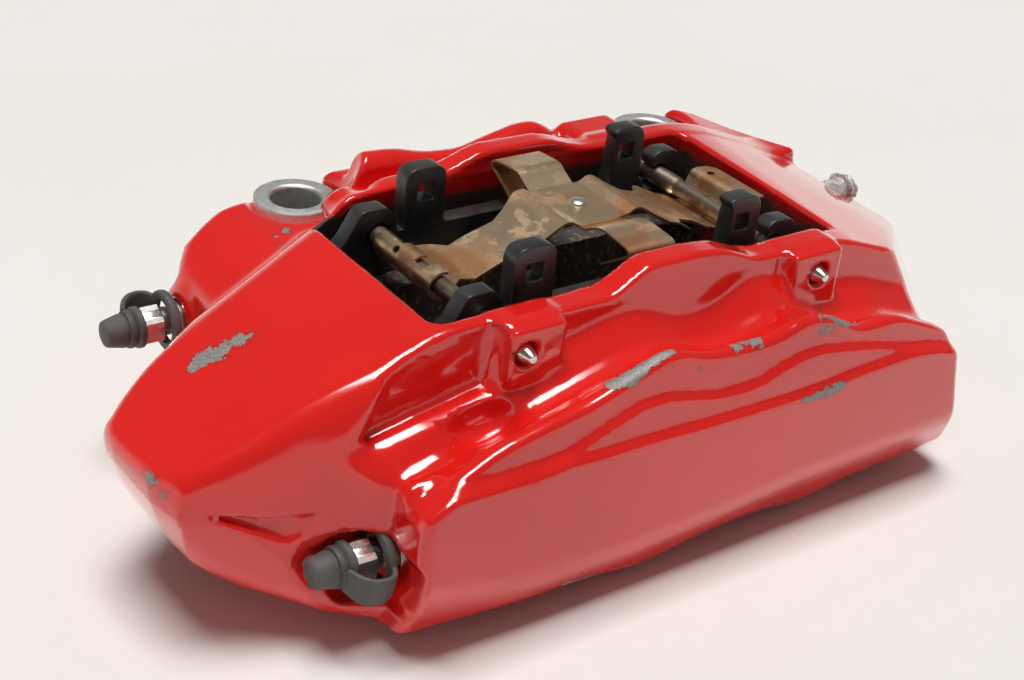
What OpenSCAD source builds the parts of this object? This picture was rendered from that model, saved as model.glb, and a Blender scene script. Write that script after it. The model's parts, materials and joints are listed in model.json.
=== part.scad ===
// Fixed four-piston brake caliper for a ventilated disc, with pads, pins, spring and bleed screws.
// The frame: origin midway between the two mounting bolts on their machined faces,
// +X along the caliper, +Y towards the wheel carrier, +Z away from the disc's axis.

/* [Mounting] */
// Distance between the two mounting bolts
bolt_spacing = 130; // [120:1:136]
// Diameter of the mounting holes
bolt_hole_d = 14.5; // [12.5:0.5:16.5]
// Diameter of the machined mounting bosses
boss_d = 24; // [22:1:28]
// Height of the mounting bosses
boss_h = 52; // [46:1:56]

/* [Disc and pads] */
// Offset of the pads' middle from the middle of the bolts, along X
pad_shift = 11.8; // [8:0.2:14]
// Distance from the bolts' line to the disc's middle plane
disc_offset = 60.6; // [58:0.2:66]
// Diameter of the brake disc that runs in the slot
disc_d = 330; // [322:1:345]
// Thickness of the brake disc
disc_t = 28; // [24:0.5:30]
// Width of each pad's backing plate
pad_w = 131; // [126:1:132]
// Thickness of each backing plate
plate_t = 5.5; // [5:0.25:6]
// Thickness of each friction lining
lining_t = 8.6; // [6:0.2:10]
// Thickness of each anti-noise shim
shim_t = 0.8; // [0.5:0.1:1]
// Distance between the two square-holed tabs of a plate
tab_spacing = 69.4; // [64:0.2:74]
// Width of a tab
tab_w = 13; // [11:0.5:15]
// Side of a tab's square hole
tab_hole = 5.2; // [4:0.1:6]

/* [Pistons] */
// Diameter of the two pistons at the left end
piston_left_d = 38; // [34:0.5:39]
// Diameter of the two pistons at the right end
piston_right_d = 42; // [36:0.5:43]
// Distance between the pistons of one side
piston_spacing = 58; // [56:1:62]
// Length of every piston
piston_l = 20; // [18:0.5:20.5]
// Free depth behind a piston at rest
piston_back = 3.2; // [3:0.1:4]

/* [Pad pins] */
// Distance between the two pad pins
pin_spacing = 97.8; // [94:0.2:102]
// Height of the pad pins over the bosses' machined faces
pin_z = 4; // [3.9:0.1:5]
// Diameter of the pad pins
pin_d = 6; // [5:0.1:6.2]
// Diameter of the thinner stretch of a pad pin
pin_neck_d = 5; // [4:0.1:5.2]
// Outer diameter of the pins' retaining sleeves
sleeve_d = 7.5; // [7.2:0.1:7.6]

/* [Anti-rattle spring] */
// Thickness of the spring's sheet
leaf_t = 0.7; // [0.4:0.1:0.9]
// Width of the long leaf
long_leaf_w = 23; // [18:0.5:26]
// Width of the cross leaf
cross_leaf_w = 15.5; // [12:0.5:18]

/* [Bleed screws] */
// Size across the flats of the bleed screws' hexagons
bleed_hex = 10; // [8:0.5:11]
// Diameter of the bleed screws' threads
bleed_thread_d = 10; // [7:0.5:10]

/* [Casting] */
// Distance from the pads' middle to the left end of the casting, where the bleed screws are
left_reach = 138; // [134:1:146]
// Distance from the pads' middle to the right end of the casting
right_reach = 131; // [128:1:140]
// Distance from the disc's middle plane to the outer face
outer_reach = 65.4; // [64:0.2:72]
// Distance from the disc's middle plane to the inner wall's back
inner_reach = 68; // [66:0.2:72]
// Height of the two walls' rims over the bosses' machined faces
rim_z = 12; // [11:0.5:14]
// How far the walls reach below the bosses' machined faces
wall_depth = 66; // [64:1:72]

/* [Hidden] */

// Colours
paint = "crimson";
bare = "silver";
steel = "dimgray";
black = [0.16, 0.16, 0.17];
bronze = [0.62, 0.52, 0.4];
rubber = [0.25, 0.25, 0.25];

$fn = 64;
// Overlap that keeps cuts from ending exactly on a face
eps = 0.5;
// Gap round a piece that slides in a bore
slide_gap = 0.05;
// Gap between pieces that don't touch
free_gap = 0.35;

// Reference planes: the pads' middle along X, and the disc's middle plane along Y
mid_x = -pad_shift;
mid_y = -disc_offset;
// Disc faces to wall: half the disc, then lining, plate and shim
lining_y = disc_t / 2;
plate_y = lining_y + lining_t;
shim_y = plate_y + plate_t;
piston_y = shim_y + shim_t;
// Distance from the disc's middle plane to each wall, leaving room for the boots
wall_y = piston_y + 5.6;
bore_y = piston_y + piston_l + piston_back;
// Middle height of the piston bores
bore_z = -36;
// Seal and boot seats, measured from the disc's middle plane
seal_w = 3.2;
seal_depth = 3;
seal_y = wall_y + 4.5;
boot_depth = 2.6;
boot_seat = 2.4;
// The disc's axis lies under the caliper, so that the disc runs clear of the bridges
disc_clearance = 5;
disc_axis_z = -disc_d / 2 - 6;
slot_half = disc_t / 2 + 3;
// The pads' window
window_half_x = pad_w / 2 + 2;

// Outer wall's face over the pins, and the thin ends of the two bridges
front_y = -42.4;
end_z = -21;
end_low = -31;

// Pad pins: distances of the tip and the head from the disc's middle plane, and the neck's end
pin_r = pin_d / 2;
pin_tip_y = 49.1;
pin_tip_l = 4.6;
pin_head_y = 46;
pin_neck_end = 14;
pin_x = pin_spacing / 2;
sleeve_l = 8;
sleeve_split = 0.8;

// Pads: heights of the plate's top and bottom edges, its lugs and its tabs
pad_top = 4.4;
pad_bottom = -63;
lug_top = pin_z + 7.8;
lug_hole_r = pin_r + 0.7;
tab_top = 21.8;
tab_hole_z = 14.4;
wear_slot = 3;
wear_slot_depth = 6;

// Pistons: wall, floor, and the groove that holds the boot's lip
piston_wall = 5;
lip_y = 1;
lip_w = 1.6;
lip_depth = 1;
// How far a folded boot stands out of its bore
boot_front = 2.2;

// Spring: heights of its crests and of the flat in the middle, and its rivet
hump_z = 16;
trough_z = 14.2;
cross_z = trough_z - leaf_t;
curl_r = pin_r + free_gap + leaf_t / 2;
rivet_r = 1.5;
rivet_foot_r = 2.6;
rivet_foot = 0.8;

// Bleed screws: [y, z, x where the thread's seat is]
outer_bleed = [mid_y - 47, -41, mid_x - 86];
inner_bleed = [mid_y + 53, -26, mid_x - 94];
bleed_r = bleed_thread_d / 2;
nipple_r = 2.6;
cap_l = 21;
cap_r = 5.8;
ring_r = bleed_hex / sqrt(3) + 3;
pocket_r = ring_r + 4.2;

// Hose port on the right end: [x, y, z] of its mouth
hose_port = [mid_x + 125, mid_y + 18, -13];
hose_r = 4.2;

// A polygon's corners [x, y, cut], each rounded by a curve that starts cut away from the corner
function step_to(a, b, d) = a + (b - a) * min(d / norm(b - a), 0.49);
function rounded(corners, steps = 5) = [
    for (i = [0 : len(corners) - 1])
        let (
            c = corners[i],
            p = [c[0], c[1]],
            before = corners[(i + len(corners) - 1) % len(corners)],
            after = corners[(i + 1) % len(corners)],
            a = step_to(p, [before[0], before[1]], c[2]),
            b = step_to(p, [after[0], after[1]], c[2])
        )
        for (s = [0 : steps])
            let (t = s / steps) (1 - t) * (1 - t) * a + 2 * t * (1 - t) * p + t * t * b
];
// The same list mirrored about X = 0, run the other way round
function both_ways(half) = concat(
    half,
    [for (i = [len(half) - 1 : -1 : 0]) [-half[i][0], half[i][1], half[i][2]]]
);
// A sheet of thickness t whose middle follows a path
function path_normal(path, i) =
    let (
        a = path[max(i - 1, 0)],
        b = path[min(i + 1, len(path) - 1)],
        d = (b - a) / norm(b - a)
    ) [-d[1], d[0]];
function ribbon(path, t) = concat(
    [for (i = [0 : len(path) - 1]) path[i] + path_normal(path, i) * t / 2],
    [for (i = [len(path) - 1 : -1 : 0]) path[i] - path_normal(path, i) * t / 2]
);

// An outline in X and Z, made thick from y0 to y1
module slab_xz(points, y0, y1) translate([0, y1, 0]) rotate([90, 0, 0])
    linear_extrude(y1 - y0) polygon(points);
// An outline in Y and Z, made thick from x0 to x1
module slab_yz(points, x0, x1) translate([x0, 0, 0]) rotate([90, 0, 90])
    linear_extrude(x1 - x0) polygon(points);
// A cylinder along Y from y0 to y1, or along X from x0 to x1
module rod_y(r, y0, y1) translate([0, y1, 0]) rotate([90, 0, 0]) cylinder(r = r, h = y1 - y0);
module rod_x(r, x0, x1) translate([x0, 0, 0]) rotate([0, 90, 0]) cylinder(r = r, h = x1 - x0);
// Draws its child as measured from the disc's middle plane, on the inner or the outer side
module on_side(inner) translate([mid_x, mid_y, 0]) mirror([0, inner ? 0 : 1, 0]) children();
function piston_r(right) = (right ? piston_right_d : piston_left_d) / 2;
function piston_x(right) = (right ? 1 : -1) * piston_spacing / 2;

// --- Casting ---

// Outline seen from above, measured from the pads' middle and the disc's middle plane
main_plan = rounded([
    [-left_reach, 6, 12], [-left_reach, -30, 12], [-left_reach + 27, front_y, 8],
    [right_reach - 36, front_y, 6],
    [right_reach - 6, -30, 10], [right_reach, -10, 10], [right_reach - 4, 6, 10], [right_reach - 30, 50, 14],
    [right_reach - 38, inner_reach, 8], [-left_reach + 62, inner_reach, 8],
    [-left_reach + 44, inner_reach - 8, 8], [-left_reach + 34, 52, 6]
]);
// Side view: the bridges slope down to both ends
side_profile = rounded([
    [-left_reach, end_low, 2], [-left_reach, end_z, 3], [-71, rim_z, 8], [65, rim_z, 8],
    [right_reach - 17, -14, 6],
    [right_reach, end_z - 3, 4], [right_reach, end_low, 3], [right_reach - 16, -56, 8], [90, -62, 6],
    [66, -wall_depth, 6], [-70, -wall_depth, 6], [-87, -63, 6], [-left_reach + 28, -54, 8],
    [-left_reach + 12, -45, 6]
]);
// Section across the caliper: the outer rim, the bridge and the inner wall
cross_profile = rounded([
    [front_y, -wall_depth + 6, 4], [front_y, rim_z, 2], [37, rim_z, 2], [44, rim_z - 4, 3],
    [52, rim_z - 4, 3], [59, rim_z - 2, 3], [inner_reach, 0, 5], [inner_reach, -wall_depth + 6, 5],
    [62, -wall_depth, 4], [-42, -wall_depth, 4]
]);
// Section of the flange that carries the outer face, and its outline seen from the front
flange_profile = rounded([
    [-40, -wall_depth, 1], [-58, -wall_depth, 4], [-outer_reach, -48, 3], [-outer_reach, -18, 4],
    [-outer_reach + 5, 4, 3], [-56, 2, 3], [-50, 0, 3], [-40, 4, 1]
]);
flange_outline = rounded([
    [-81, -62, 5], [-81, -17, 5], [-66, -8, 8], [-42, -3, 8], [-22, 4, 8], [0, 0, 8], [24, 3, 8],
    [52, -6, 8], [80, -9, 8], [97, -20, 6], [98, -50, 5], [84, -58, 8], [60, -65, 8]
]);
// The rims rise over the spring's two ends
outer_hump = rounded([[-20, 0, 1], [-8, 18, 4], [9, 18, 4], [22, 0, 1]]);
inner_hump = rounded([[-24, 0, 1], [-8, 17, 4], [16, 17, 4], [30, 0, 1]]);

// Cuts away everything past a plane through p, whose normal leans over by tip and points along turn
module shave(p, turn, tip) translate(p) rotate([0, tip, turn]) translate([-200, -200, 0])
    cube([400, 400, 200]);

module casting_blank() {
    difference() {
        intersection() {
            translate([mid_x, mid_y, -100]) linear_extrude(150) polygon(main_plan);
            translate([mid_x, 0, 0]) slab_xz(side_profile, mid_y - 90, mid_y + 100);
            translate([0, mid_y, 0]) slab_yz(cross_profile, mid_x - 150, mid_x + 150);
        }
        // The bridges' corners slope away from the window
        shave([mid_x - 66, mid_y + 60, 0], 142, 38);
        shave([mid_x + 92, mid_y + 51, 0], 37, 38);
        shave([mid_x - 105, mid_y - 44.4, -20], -117, 43);
        shave([mid_x + 90, mid_y - 46, -11], -60, 50);
    }
    intersection() {
        translate([0, mid_y, 0]) slab_yz(flange_profile, mid_x - 100, mid_x + 110);
        translate([mid_x, 0, 0]) slab_xz(flange_outline, mid_y - 90, mid_y);
    }
    translate([mid_x, 0, 0]) slab_xz(outer_hump, mid_y - 45, mid_y - 33);
    translate([mid_x, 0, 0]) slab_xz(inner_hump, mid_y + 33, mid_y + 43);
    // The mounting bosses
    for (s = [-1, 1]) translate([s * bolt_spacing / 2, 0, -boss_h]) cylinder(d = boss_d, h = boss_h);
    // Bosses round the pad pins' tips
    for (s = [-1, 1]) translate([mid_x + s * pin_x, mid_y, pin_z])
        slab_xz(rounded([[-7, -8, 1], [8, -8, 1], [8, 7, 1], [-5, 7, 3]]), -pin_tip_y + 2.5, front_y + 1);
    // The lip under the outer bleed screw
    translate([outer_bleed[2], mid_y, -wall_depth + 3]) linear_extrude(10)
        polygon(rounded([[-30, -34, 1], [-26, -42, 5], [-6, -50, 3], [8, -52, 1], [8, -34, 1]]));
}

// Everything that the pads, the disc and the pins need
module casting_hollows() {
    // Window and room for the pads
    translate([mid_x, 0, 0]) slab_xz(
        [[-window_half_x, -90], [-window_half_x, 40], [window_half_x, 40], [window_half_x, -90]],
        mid_y - wall_y, mid_y + wall_y);
    // The disc's slot through both ends
    translate([mid_x, 0, disc_axis_z])
        rod_y(disc_d / 2 + disc_clearance, mid_y - slot_half, mid_y + slot_half, $fn = 180);
    // Room over and under the mounting bosses
    for (s = [-1, 1]) translate([s * bolt_spacing / 2, 0, 0]) {
        cylinder(r = boss_d / 2 + 2, h = 40);
        translate([0, 0, -boss_h - 60]) cylinder(r = boss_d / 2 + 1, h = 60);
        translate([0, 0, -boss_h - eps]) cylinder(d = bolt_hole_d, h = boss_h + 2 * eps);
    }
    // Holes for the pad pins
    for (s = [-1, 1]) translate([mid_x + s * pin_x, mid_y, pin_z]) {
        rod_y(pin_r + 0.3, -outer_reach - 10, -wall_y + eps);
        rod_y(pin_r + 0.15, wall_y - eps, pin_head_y - sleeve_l);
        rod_y(sleeve_d / 2 + slide_gap, pin_head_y - sleeve_l, inner_reach + 10);
    }
}

module piston_bores() {
    for (inner = [false, true], right = [false, true]) on_side(inner)
        translate([piston_x(right), 0, bore_z]) {
            rod_y(piston_r(right) + slide_gap, wall_y - eps, bore_y);
            rod_y(piston_r(right) + seal_depth, seal_y, seal_y + seal_w);
            rod_y(piston_r(right) + boot_depth, wall_y - eps, wall_y + boot_seat);
        }
}

module bleed_pocket(at, pocket_l) translate([0, at[0], at[1]]) {
    rod_x(pocket_r, at[2] - pocket_l, at[2]);
    rod_x(bleed_r, at[2] - eps, at[2] + 12);
    rod_x(1.5, at[2] + 10, at[2] + 22);
}

module caliper_body() color(paint) difference() {
    casting_blank();
    casting_hollows();
    piston_bores();
    bleed_pocket(outer_bleed, 60);
    bleed_pocket(inner_bleed, 60);
    translate([0, hose_port[1], hose_port[2]]) rod_x(hose_r, hose_port[0] - 16, hose_port[0] + 20);
    translate([0, hose_port[1], hose_port[2]]) rod_x(7, hose_port[0], hose_port[0] + 20);
}

// --- Pistons and their seals ---

module piston(inner, right) color(bare) on_side(inner) translate([piston_x(right), 0, bore_z]) difference() {
    rod_y(piston_r(right), piston_y, piston_y + piston_l);
    // Hollow towards the pad
    rod_y(piston_r(right) - piston_wall, piston_y - eps, piston_y + piston_l - piston_wall);
    // Groove that holds the boot's lip
    difference() {
        rod_y(piston_r(right) + eps, piston_y + lip_y, piston_y + lip_y + lip_w);
        rod_y(piston_r(right) - lip_depth, piston_y, piston_y + lip_y + 2 * lip_w);
    }
}

module seal(inner, right) color(rubber) on_side(inner) translate([piston_x(right), 0, bore_z]) difference() {
    rod_y(piston_r(right) + seal_depth, seal_y, seal_y + seal_w);
    rod_y(piston_r(right) + slide_gap, seal_y - eps, seal_y + seal_w + eps);
}

module boot(inner, right) color(rubber) on_side(inner) translate([piston_x(right), 0, bore_z]) difference() {
    union() {
        rod_y(piston_r(right) + boot_depth, wall_y, wall_y + boot_seat);
        rod_y(piston_r(right) + boot_depth - 0.6, wall_y - boot_front, wall_y + eps);
    }
    rod_y(piston_r(right) + free_gap, wall_y - boot_front - eps, wall_y + boot_seat + eps);
}

// --- Pads ---

plate_half = [
    [-pad_w / 2 + 18, pad_bottom, 8], [-pad_w / 2 + 3, -44, 6], [-pad_w / 2, -38, 3], [-pad_w / 2, -1, 4],
    [-pin_x - 10, pad_top - 1, 2], [-pin_x - 6.5, lug_top, 2], [-pin_x + 1.5, lug_top, 2],
    [-pin_x + 5.5, lug_top - 3.5, 2], [-pin_x + 6.5, pad_top, 1],
    [-tab_spacing / 2 - tab_w / 2, pad_top, 0.4], [-tab_spacing / 2 - tab_w / 2, tab_top, 5],
    [-tab_spacing / 2 + tab_w / 2, tab_top, 5], [-tab_spacing / 2 + tab_w / 2, pad_top, 1]
];

module pad_plate(inner) color(black) on_side(inner) difference() {
    slab_xz(rounded(both_ways(plate_half)), plate_y, shim_y);
    for (s = [-1, 1]) {
        translate([s * tab_spacing / 2, 0, tab_hole_z]) cube([tab_hole, 4 * shim_y, tab_hole], center = true);
        translate([s * pin_x, 0, pin_z]) {
            rod_y(lug_hole_r, plate_y - eps, shim_y + eps);
            // The hook is open towards the pads' middle
            translate([s > 0 ? -12 : 0, plate_y - eps, -lug_hole_r])
                cube([12, plate_t + 2 * eps, lug_hole_r]);
        }
    }
}

lining_half = [
    [-pad_w / 2 + 20, pad_bottom + 2, 6], [-pad_w / 2 + 7, -44, 5], [-pad_w / 2 + 4, -14, 3],
    [-pad_w / 2 + 14, -8.5, 3], [-pad_w / 4, -6.5, 8]
];

module pad_lining(inner) color("darkslategray") on_side(inner) difference() {
    slab_xz(rounded(both_ways(lining_half)), lining_y, plate_y);
    // Wear slot down the middle
    translate([-wear_slot / 2, lining_y - eps, pad_bottom - 5]) cube([wear_slot, wear_slot_depth + eps, 80]);
}

shim_half = [
    [-pad_w / 2 + 20, pad_bottom + 3, 5], [-pad_w / 2 + 8, -42, 5], [-pad_w / 2 + 5, -6, 3],
    [-pin_x + 10, -5, 3], [-pin_x + 14, 1, 3]
];

module pad_shim(inner) color(steel) on_side(inner)
    slab_xz(rounded(both_ways(shim_half)), shim_y, piston_y);

// --- Pad pins ---

module pad_pin(s) color("gray") translate([mid_x + s * pin_x, mid_y, pin_z]) {
    rod_y(pin_r, -pin_tip_y + pin_tip_l, -plate_y + 4);
    rod_y(pin_neck_d / 2, -plate_y + 3, pin_neck_end + eps);
    rod_y(pin_r, pin_neck_end, pin_head_y);
    // The tip's cone, flat at its end
    translate([0, -pin_tip_y + pin_tip_l, 0]) rotate([90, 0, 0])
        cylinder(r1 = pin_r, r2 = 1.1, h = pin_tip_l);
}

module pin_sleeve(s) color(steel) translate([mid_x + s * pin_x, mid_y, pin_z]) difference() {
    rod_y(sleeve_d / 2, pin_head_y - sleeve_l, pin_head_y);
    rod_y(pin_r, pin_head_y - sleeve_l - eps, pin_head_y + eps);
    // The sleeve is split along its top
    translate([-sleeve_split / 2, pin_head_y - sleeve_l - eps, 0])
        cube([sleeve_split, sleeve_l + 2 * eps, sleeve_d]);
}

// --- Anti-rattle spring ---

function arc_path(centre, r, a0, a1, n) = [
    for (i = [0 : n]) let (a = a0 + (a1 - a0) * i / n) centre + r * [cos(a), sin(a)]
];
// The long leaf's middle line in X and Z: it curls round the left pin and dips under the right one
long_path = concat(
    arc_path([-pin_x, pin_z], curl_r, 62, 300, 16),
    [[-pin_x + 8, 5.4], [-33, 8.4], [-19, 12.4]],
    [[-13.5, 15], [-11, hump_z - leaf_t / 2], [-9.6, 15.2], [-8, trough_z]],
    [[8, trough_z], [9.6, 15.2], [11, hump_z - leaf_t / 2], [13.5, 15]],
    [[17, 12.6], [24, 8.4], [pin_x - 14, 5.6], [pin_x - 7, 2.4]],
    arc_path([pin_x, pin_z], curl_r, 235, 320, 8),
    [[pin_x + 5.6, 4.4], [pin_x + 6.8, 7.4], [pin_x + 13.6, 7.6]]
);

module rivet_hole() cylinder(r = rivet_r, h = hump_z);

module spring_long_leaf() color(bronze) {
    half_w = long_leaf_w / 2;
    translate([mid_x, mid_y, 0]) difference() {
        intersection() {
            slab_xz(ribbon(long_path, leaf_t), -half_w, 20);
            // Seen from above: the left end is set back towards the carrier, the right end is narrower
            translate([0, 0, -10]) linear_extrude(40) polygon([
                [-60, -5.8], [-42, -5.8], [-42, -half_w], [28, -half_w], [30, -8.5], [70, -8.5],
                [70, 16], [34, 16], [30, half_w - 0.5], [-14, half_w - 0.5],
                [-24, 5.5], [-38, 5.5], [-46, 19], [-60, 19]
            ]);
        }
        rivet_hole();
    }
}

// The cross leaf's middle line in Y and Z, for one half: up to a crest, then folded back under
cross_half = [
    [0, cross_z], [13, cross_z], [17.5, 16], [20.5, 16.6], [30, 15.9],
    [30.9, 15], [30.2, 13.7], [24, 9.6], [20.5, 7]
];
module spring_cross_leaf() color(bronze) {
    other_half = [for (i = [len(cross_half) - 1 : -1 : 1]) [-cross_half[i][0], cross_half[i][1]]];
    path = concat(other_half, cross_half);
    translate([mid_x, mid_y, 0]) difference() {
        slab_yz(ribbon(path, leaf_t), -cross_leaf_w / 2, cross_leaf_w / 2);
        rivet_hole();
    }
}

module spring_rivet() color(bare) translate([mid_x, mid_y, 0]) {
    top = trough_z + leaf_t / 2;
    bottom = cross_z - leaf_t / 2;
    translate([0, 0, bottom - rivet_foot]) cylinder(r = rivet_foot_r, h = rivet_foot);
    translate([0, 0, bottom - eps]) cylinder(r = rivet_r, h = top - bottom + 2 * eps);
    // The domed head
    translate([0, 0, top]) rotate_extrude() intersection() {
        translate([0, -2.4]) circle(r = 3.5);
        square([4, 3]);
    }
}

// --- Bleed screws, their caps and the hose port's plug ---

module bleed_screw(at) color("gainsboro") translate([0, at[0], at[1]]) {
    seat = at[2];
    hex_l = 6;
    neck_l = 5;
    rod_x(bleed_r - slide_gap, seat - eps, seat + 9);
    // Neck between the thread and the hexagon, clear of the cap's ring
    rod_x(bleed_r - 1, seat - neck_l, seat);
    translate([seat - neck_l - hex_l, 0, 0]) rotate([0, 90, 0])
        cylinder(d = bleed_hex * 2 / sqrt(3), h = hex_l, $fn = 6);
    rod_x(nipple_r, seat - 16, seat - neck_l);
}

module bleed_cap(at, turn) color(rubber) translate([at[2] - 11, at[0], at[1]]) rotate([turn, 0, 0]) {
    strap_w = 8;
    // The cap over the nipple
    difference() {
        translate([-cap_l + 11, 0, 0]) rotate([0, 90, 0]) rotate_extrude() polygon([
            [0, 0], [3.4, 0], [3.9, 0.6], [4.9, 5.4], [4.5, 5.8], [5.3, 6.4], [5.3, 8.2], [5, 8.4],
            [cap_r, 8.8], [cap_r, cap_l - 11 - free_gap], [0, cap_l - 11 - free_gap]
        ]);
        rod_x(nipple_r + free_gap, -6, 5);
    }
    // The ring round the neck, behind the hexagon
    difference() {
        rod_x(ring_r, 6.8, 9.8);
        rod_x(bleed_hex / sqrt(3) + free_gap, 6, 11);
    }
    // The strap, bent out from the cap to the ring
    translate([0, 0, -strap_w / 2]) linear_extrude(strap_w) polygon(ribbon(
        [[-1.9, cap_r - 1.2], [-0.7, cap_r + 1.4], [3, 9.6], [6, 10.4], [8.6, 9.8], [9.3, ring_r - 1]], 2));
}

module hose_port_plug() color([0.8, 0.8, 0.78]) translate([0, hose_port[1], hose_port[2]]) {
    rod_x(hose_r - slide_gap, hose_port[0] - 8, hose_port[0] + eps);
    rod_x(6, hose_port[0], hose_port[0] + 1.5);
    rod_x(4.6, hose_port[0], hose_port[0] + 5);
}

// --- Every node, drawn alone or all together ---

SIDES = [["inner", true], ["outer", false]];
ENDS = [["left", false], ["right", true]];
module draw_if(name) children();

caliper_body();
for (side = SIDES, end = ENDS) {
    draw_if(str(side[0], "_piston_", end[0])) piston(side[1], end[1]);
    draw_if(str(side[0], "_seal_", end[0])) seal(side[1], end[1]);
    draw_if(str(side[0], "_boot_", end[0])) boot(side[1], end[1]);
}
for (side = SIDES) {
    draw_if(str(side[0], "_pad_plate")) pad_plate(side[1]);
    draw_if(str(side[0], "_pad_lining")) pad_lining(side[1]);
    draw_if(str(side[0], "_pad_shim")) pad_shim(side[1]);
}
pad_pin(-1);  // pad_pin_left
pad_pin(1);  // pad_pin_right
pin_sleeve(-1);  // pin_sleeve_left
pin_sleeve(1);  // pin_sleeve_right
spring_long_leaf();
spring_cross_leaf();
spring_rivet();
bleed_screw(outer_bleed);  // outer_bleed_screw
bleed_screw(inner_bleed);  // inner_bleed_screw
bleed_cap(outer_bleed, 215);  // outer_bleed_cap
bleed_cap(inner_bleed, 0);  // inner_bleed_cap
hose_port_plug();
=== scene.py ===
# %% [markdown]
# # A four-piston brake caliper
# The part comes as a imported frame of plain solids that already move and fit. This lesson gives it its looks:
# a cast body with soft blends and worn enamel, stained spring leaves, coated pad plates and rubber caps.
# Everything is in metres in the frame's own axes. The shapes are worked out in millimetres and scaled once.

# %% Load the frame
import json
from math import radians

import bmesh
import bpy
import numpy as np
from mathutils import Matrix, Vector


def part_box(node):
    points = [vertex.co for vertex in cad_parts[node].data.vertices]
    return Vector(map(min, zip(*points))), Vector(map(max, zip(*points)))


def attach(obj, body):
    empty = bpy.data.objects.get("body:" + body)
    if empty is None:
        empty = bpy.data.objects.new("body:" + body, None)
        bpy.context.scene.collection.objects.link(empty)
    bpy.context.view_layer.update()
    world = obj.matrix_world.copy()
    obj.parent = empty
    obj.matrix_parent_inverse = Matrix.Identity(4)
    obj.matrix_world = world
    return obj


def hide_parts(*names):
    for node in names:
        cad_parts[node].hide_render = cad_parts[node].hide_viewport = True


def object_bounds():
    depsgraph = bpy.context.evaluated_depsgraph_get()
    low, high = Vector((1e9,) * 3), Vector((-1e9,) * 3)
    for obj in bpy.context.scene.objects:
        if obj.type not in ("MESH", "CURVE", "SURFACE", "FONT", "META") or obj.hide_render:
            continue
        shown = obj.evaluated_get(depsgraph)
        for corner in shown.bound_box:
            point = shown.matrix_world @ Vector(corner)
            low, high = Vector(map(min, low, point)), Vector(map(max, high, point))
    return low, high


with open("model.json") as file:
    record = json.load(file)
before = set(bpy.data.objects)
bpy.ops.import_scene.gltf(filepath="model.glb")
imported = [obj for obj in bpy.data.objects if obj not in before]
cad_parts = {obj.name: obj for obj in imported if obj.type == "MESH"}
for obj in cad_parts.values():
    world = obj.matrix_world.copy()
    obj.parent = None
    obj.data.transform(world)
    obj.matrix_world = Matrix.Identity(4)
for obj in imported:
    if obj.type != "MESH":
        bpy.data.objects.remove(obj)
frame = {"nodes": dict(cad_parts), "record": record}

import openvdb
from mathutils import Matrix, Vector
from mathutils.geometry import tessellate_polygon

MM = 0.001
cad_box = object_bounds()

# %% [markdown]
# ## Driving places
# Sizes are read back from the frame, so that the looks follow the design. `mid` is the pads' middle on the
# disc's middle plane. A bore runs past its piston's back, so that the pad can be pushed back, and `SEAT` is
# where each bleed screw meets the casting along X.

# %% Places taken from the frame
def corners(node):
    """A node's lowest and highest corners in millimetres."""
    low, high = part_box(node)
    return np.array(low) / MM, np.array(high) / MM


plate_low, plate_high = corners("outer_pad_plate")
inner_high = corners("inner_pad_plate")[1]
MID_X = (plate_low[0] + plate_high[0]) / 2
MID_Y = (plate_low[1] + inner_high[1]) / 2
PIN = {}
for side in ("left", "right"):
    low, high = corners(f"pad_pin_{side}")
    PIN[side] = ((low[0] + high[0]) / 2, (low[2] + high[2]) / 2, low[1], high[1])
PISTON = {}
for side in ("left", "right"):
    low, high = corners(f"outer_piston_{side}")
    PISTON[side] = ((low[0] + high[0]) / 2, (low[2] + high[2]) / 2, (high[0] - low[0]) / 2)
ROOM_BEHIND = 5.5
BORE_DEPTH = MID_Y - corners("outer_piston_left")[0][1] + ROOM_BEHIND
SEAT = {"outer": -97.8, "inner": -105.8}
BLEED = {}
for side in ("outer", "inner"):
    low, high = corners(f"{side}_bleed_screw")
    BLEED[side] = (low[0], high[0], (low[1] + high[1]) / 2, (low[2] + high[2]) / 2)
BOLT_X = frame["record"]["mounts"][0]["dims"]["spacing_x_mm"] / 2
BOLT_R = frame["record"]["mounts"][0]["dims"]["hole_r_mm"]
BOSS_R = 12.0
BOSS_H = 52.0
print("pads' middle at", round(MID_X, 1), round(MID_Y, 1), "mm; pins", PIN)

# %% [markdown]
# ## Putting arrays into meshes
# Points and faces are worked out as whole arrays and handed to Blender at once.

# %% Mesh helpers
def make_object(name, points, faces):
    """Points in millimetres and faces as rows of indices become one object at the origin, in metres."""
    mesh = bpy.data.meshes.new(name)
    mesh.from_pydata(np.asarray(points, float) * MM, [], [tuple(f) for f in np.asarray(faces).tolist()])
    mesh.validate()
    mesh.shade_smooth()
    thing = bpy.data.objects.new(name, mesh)
    bpy.context.scene.collection.objects.link(thing)
    return thing


def grid_faces(rows, columns, close_rows=False, close_columns=False):
    """Quads between neighbouring points of a grid, wrapping round where a direction is closed."""
    i = np.arange(rows if close_rows else rows - 1)[:, None]
    j = np.arange(columns if close_columns else columns - 1)[None, :]
    i2, j2 = (i + 1) % rows, (j + 1) % columns
    rounds = (i * columns + j, i2 * columns + j, i2 * columns + j2, i * columns + j2)
    return np.stack(np.broadcast_arrays(*rounds), -1).reshape(-1, 4)


def smooth_min(a, b, k):
    """The lower of two distances, blended over a width k so that the shapes meet in a fillet."""
    h = np.clip(0.5 + 0.5 * (b - a) / k, 0, 1)
    return b + (a - b) * h - k * h * (1 - h)


def smooth_max(a, b, k):
    """The higher of two distances, blended over a width k so that the edge is rounded."""
    return -smooth_min(-a, -b, k)


def soft_step(t):
    """0 below 0, 1 above 1, and a smooth S between."""
    t = np.clip(t, 0, 1)
    return t * t * (3 - 2 * t)


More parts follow.
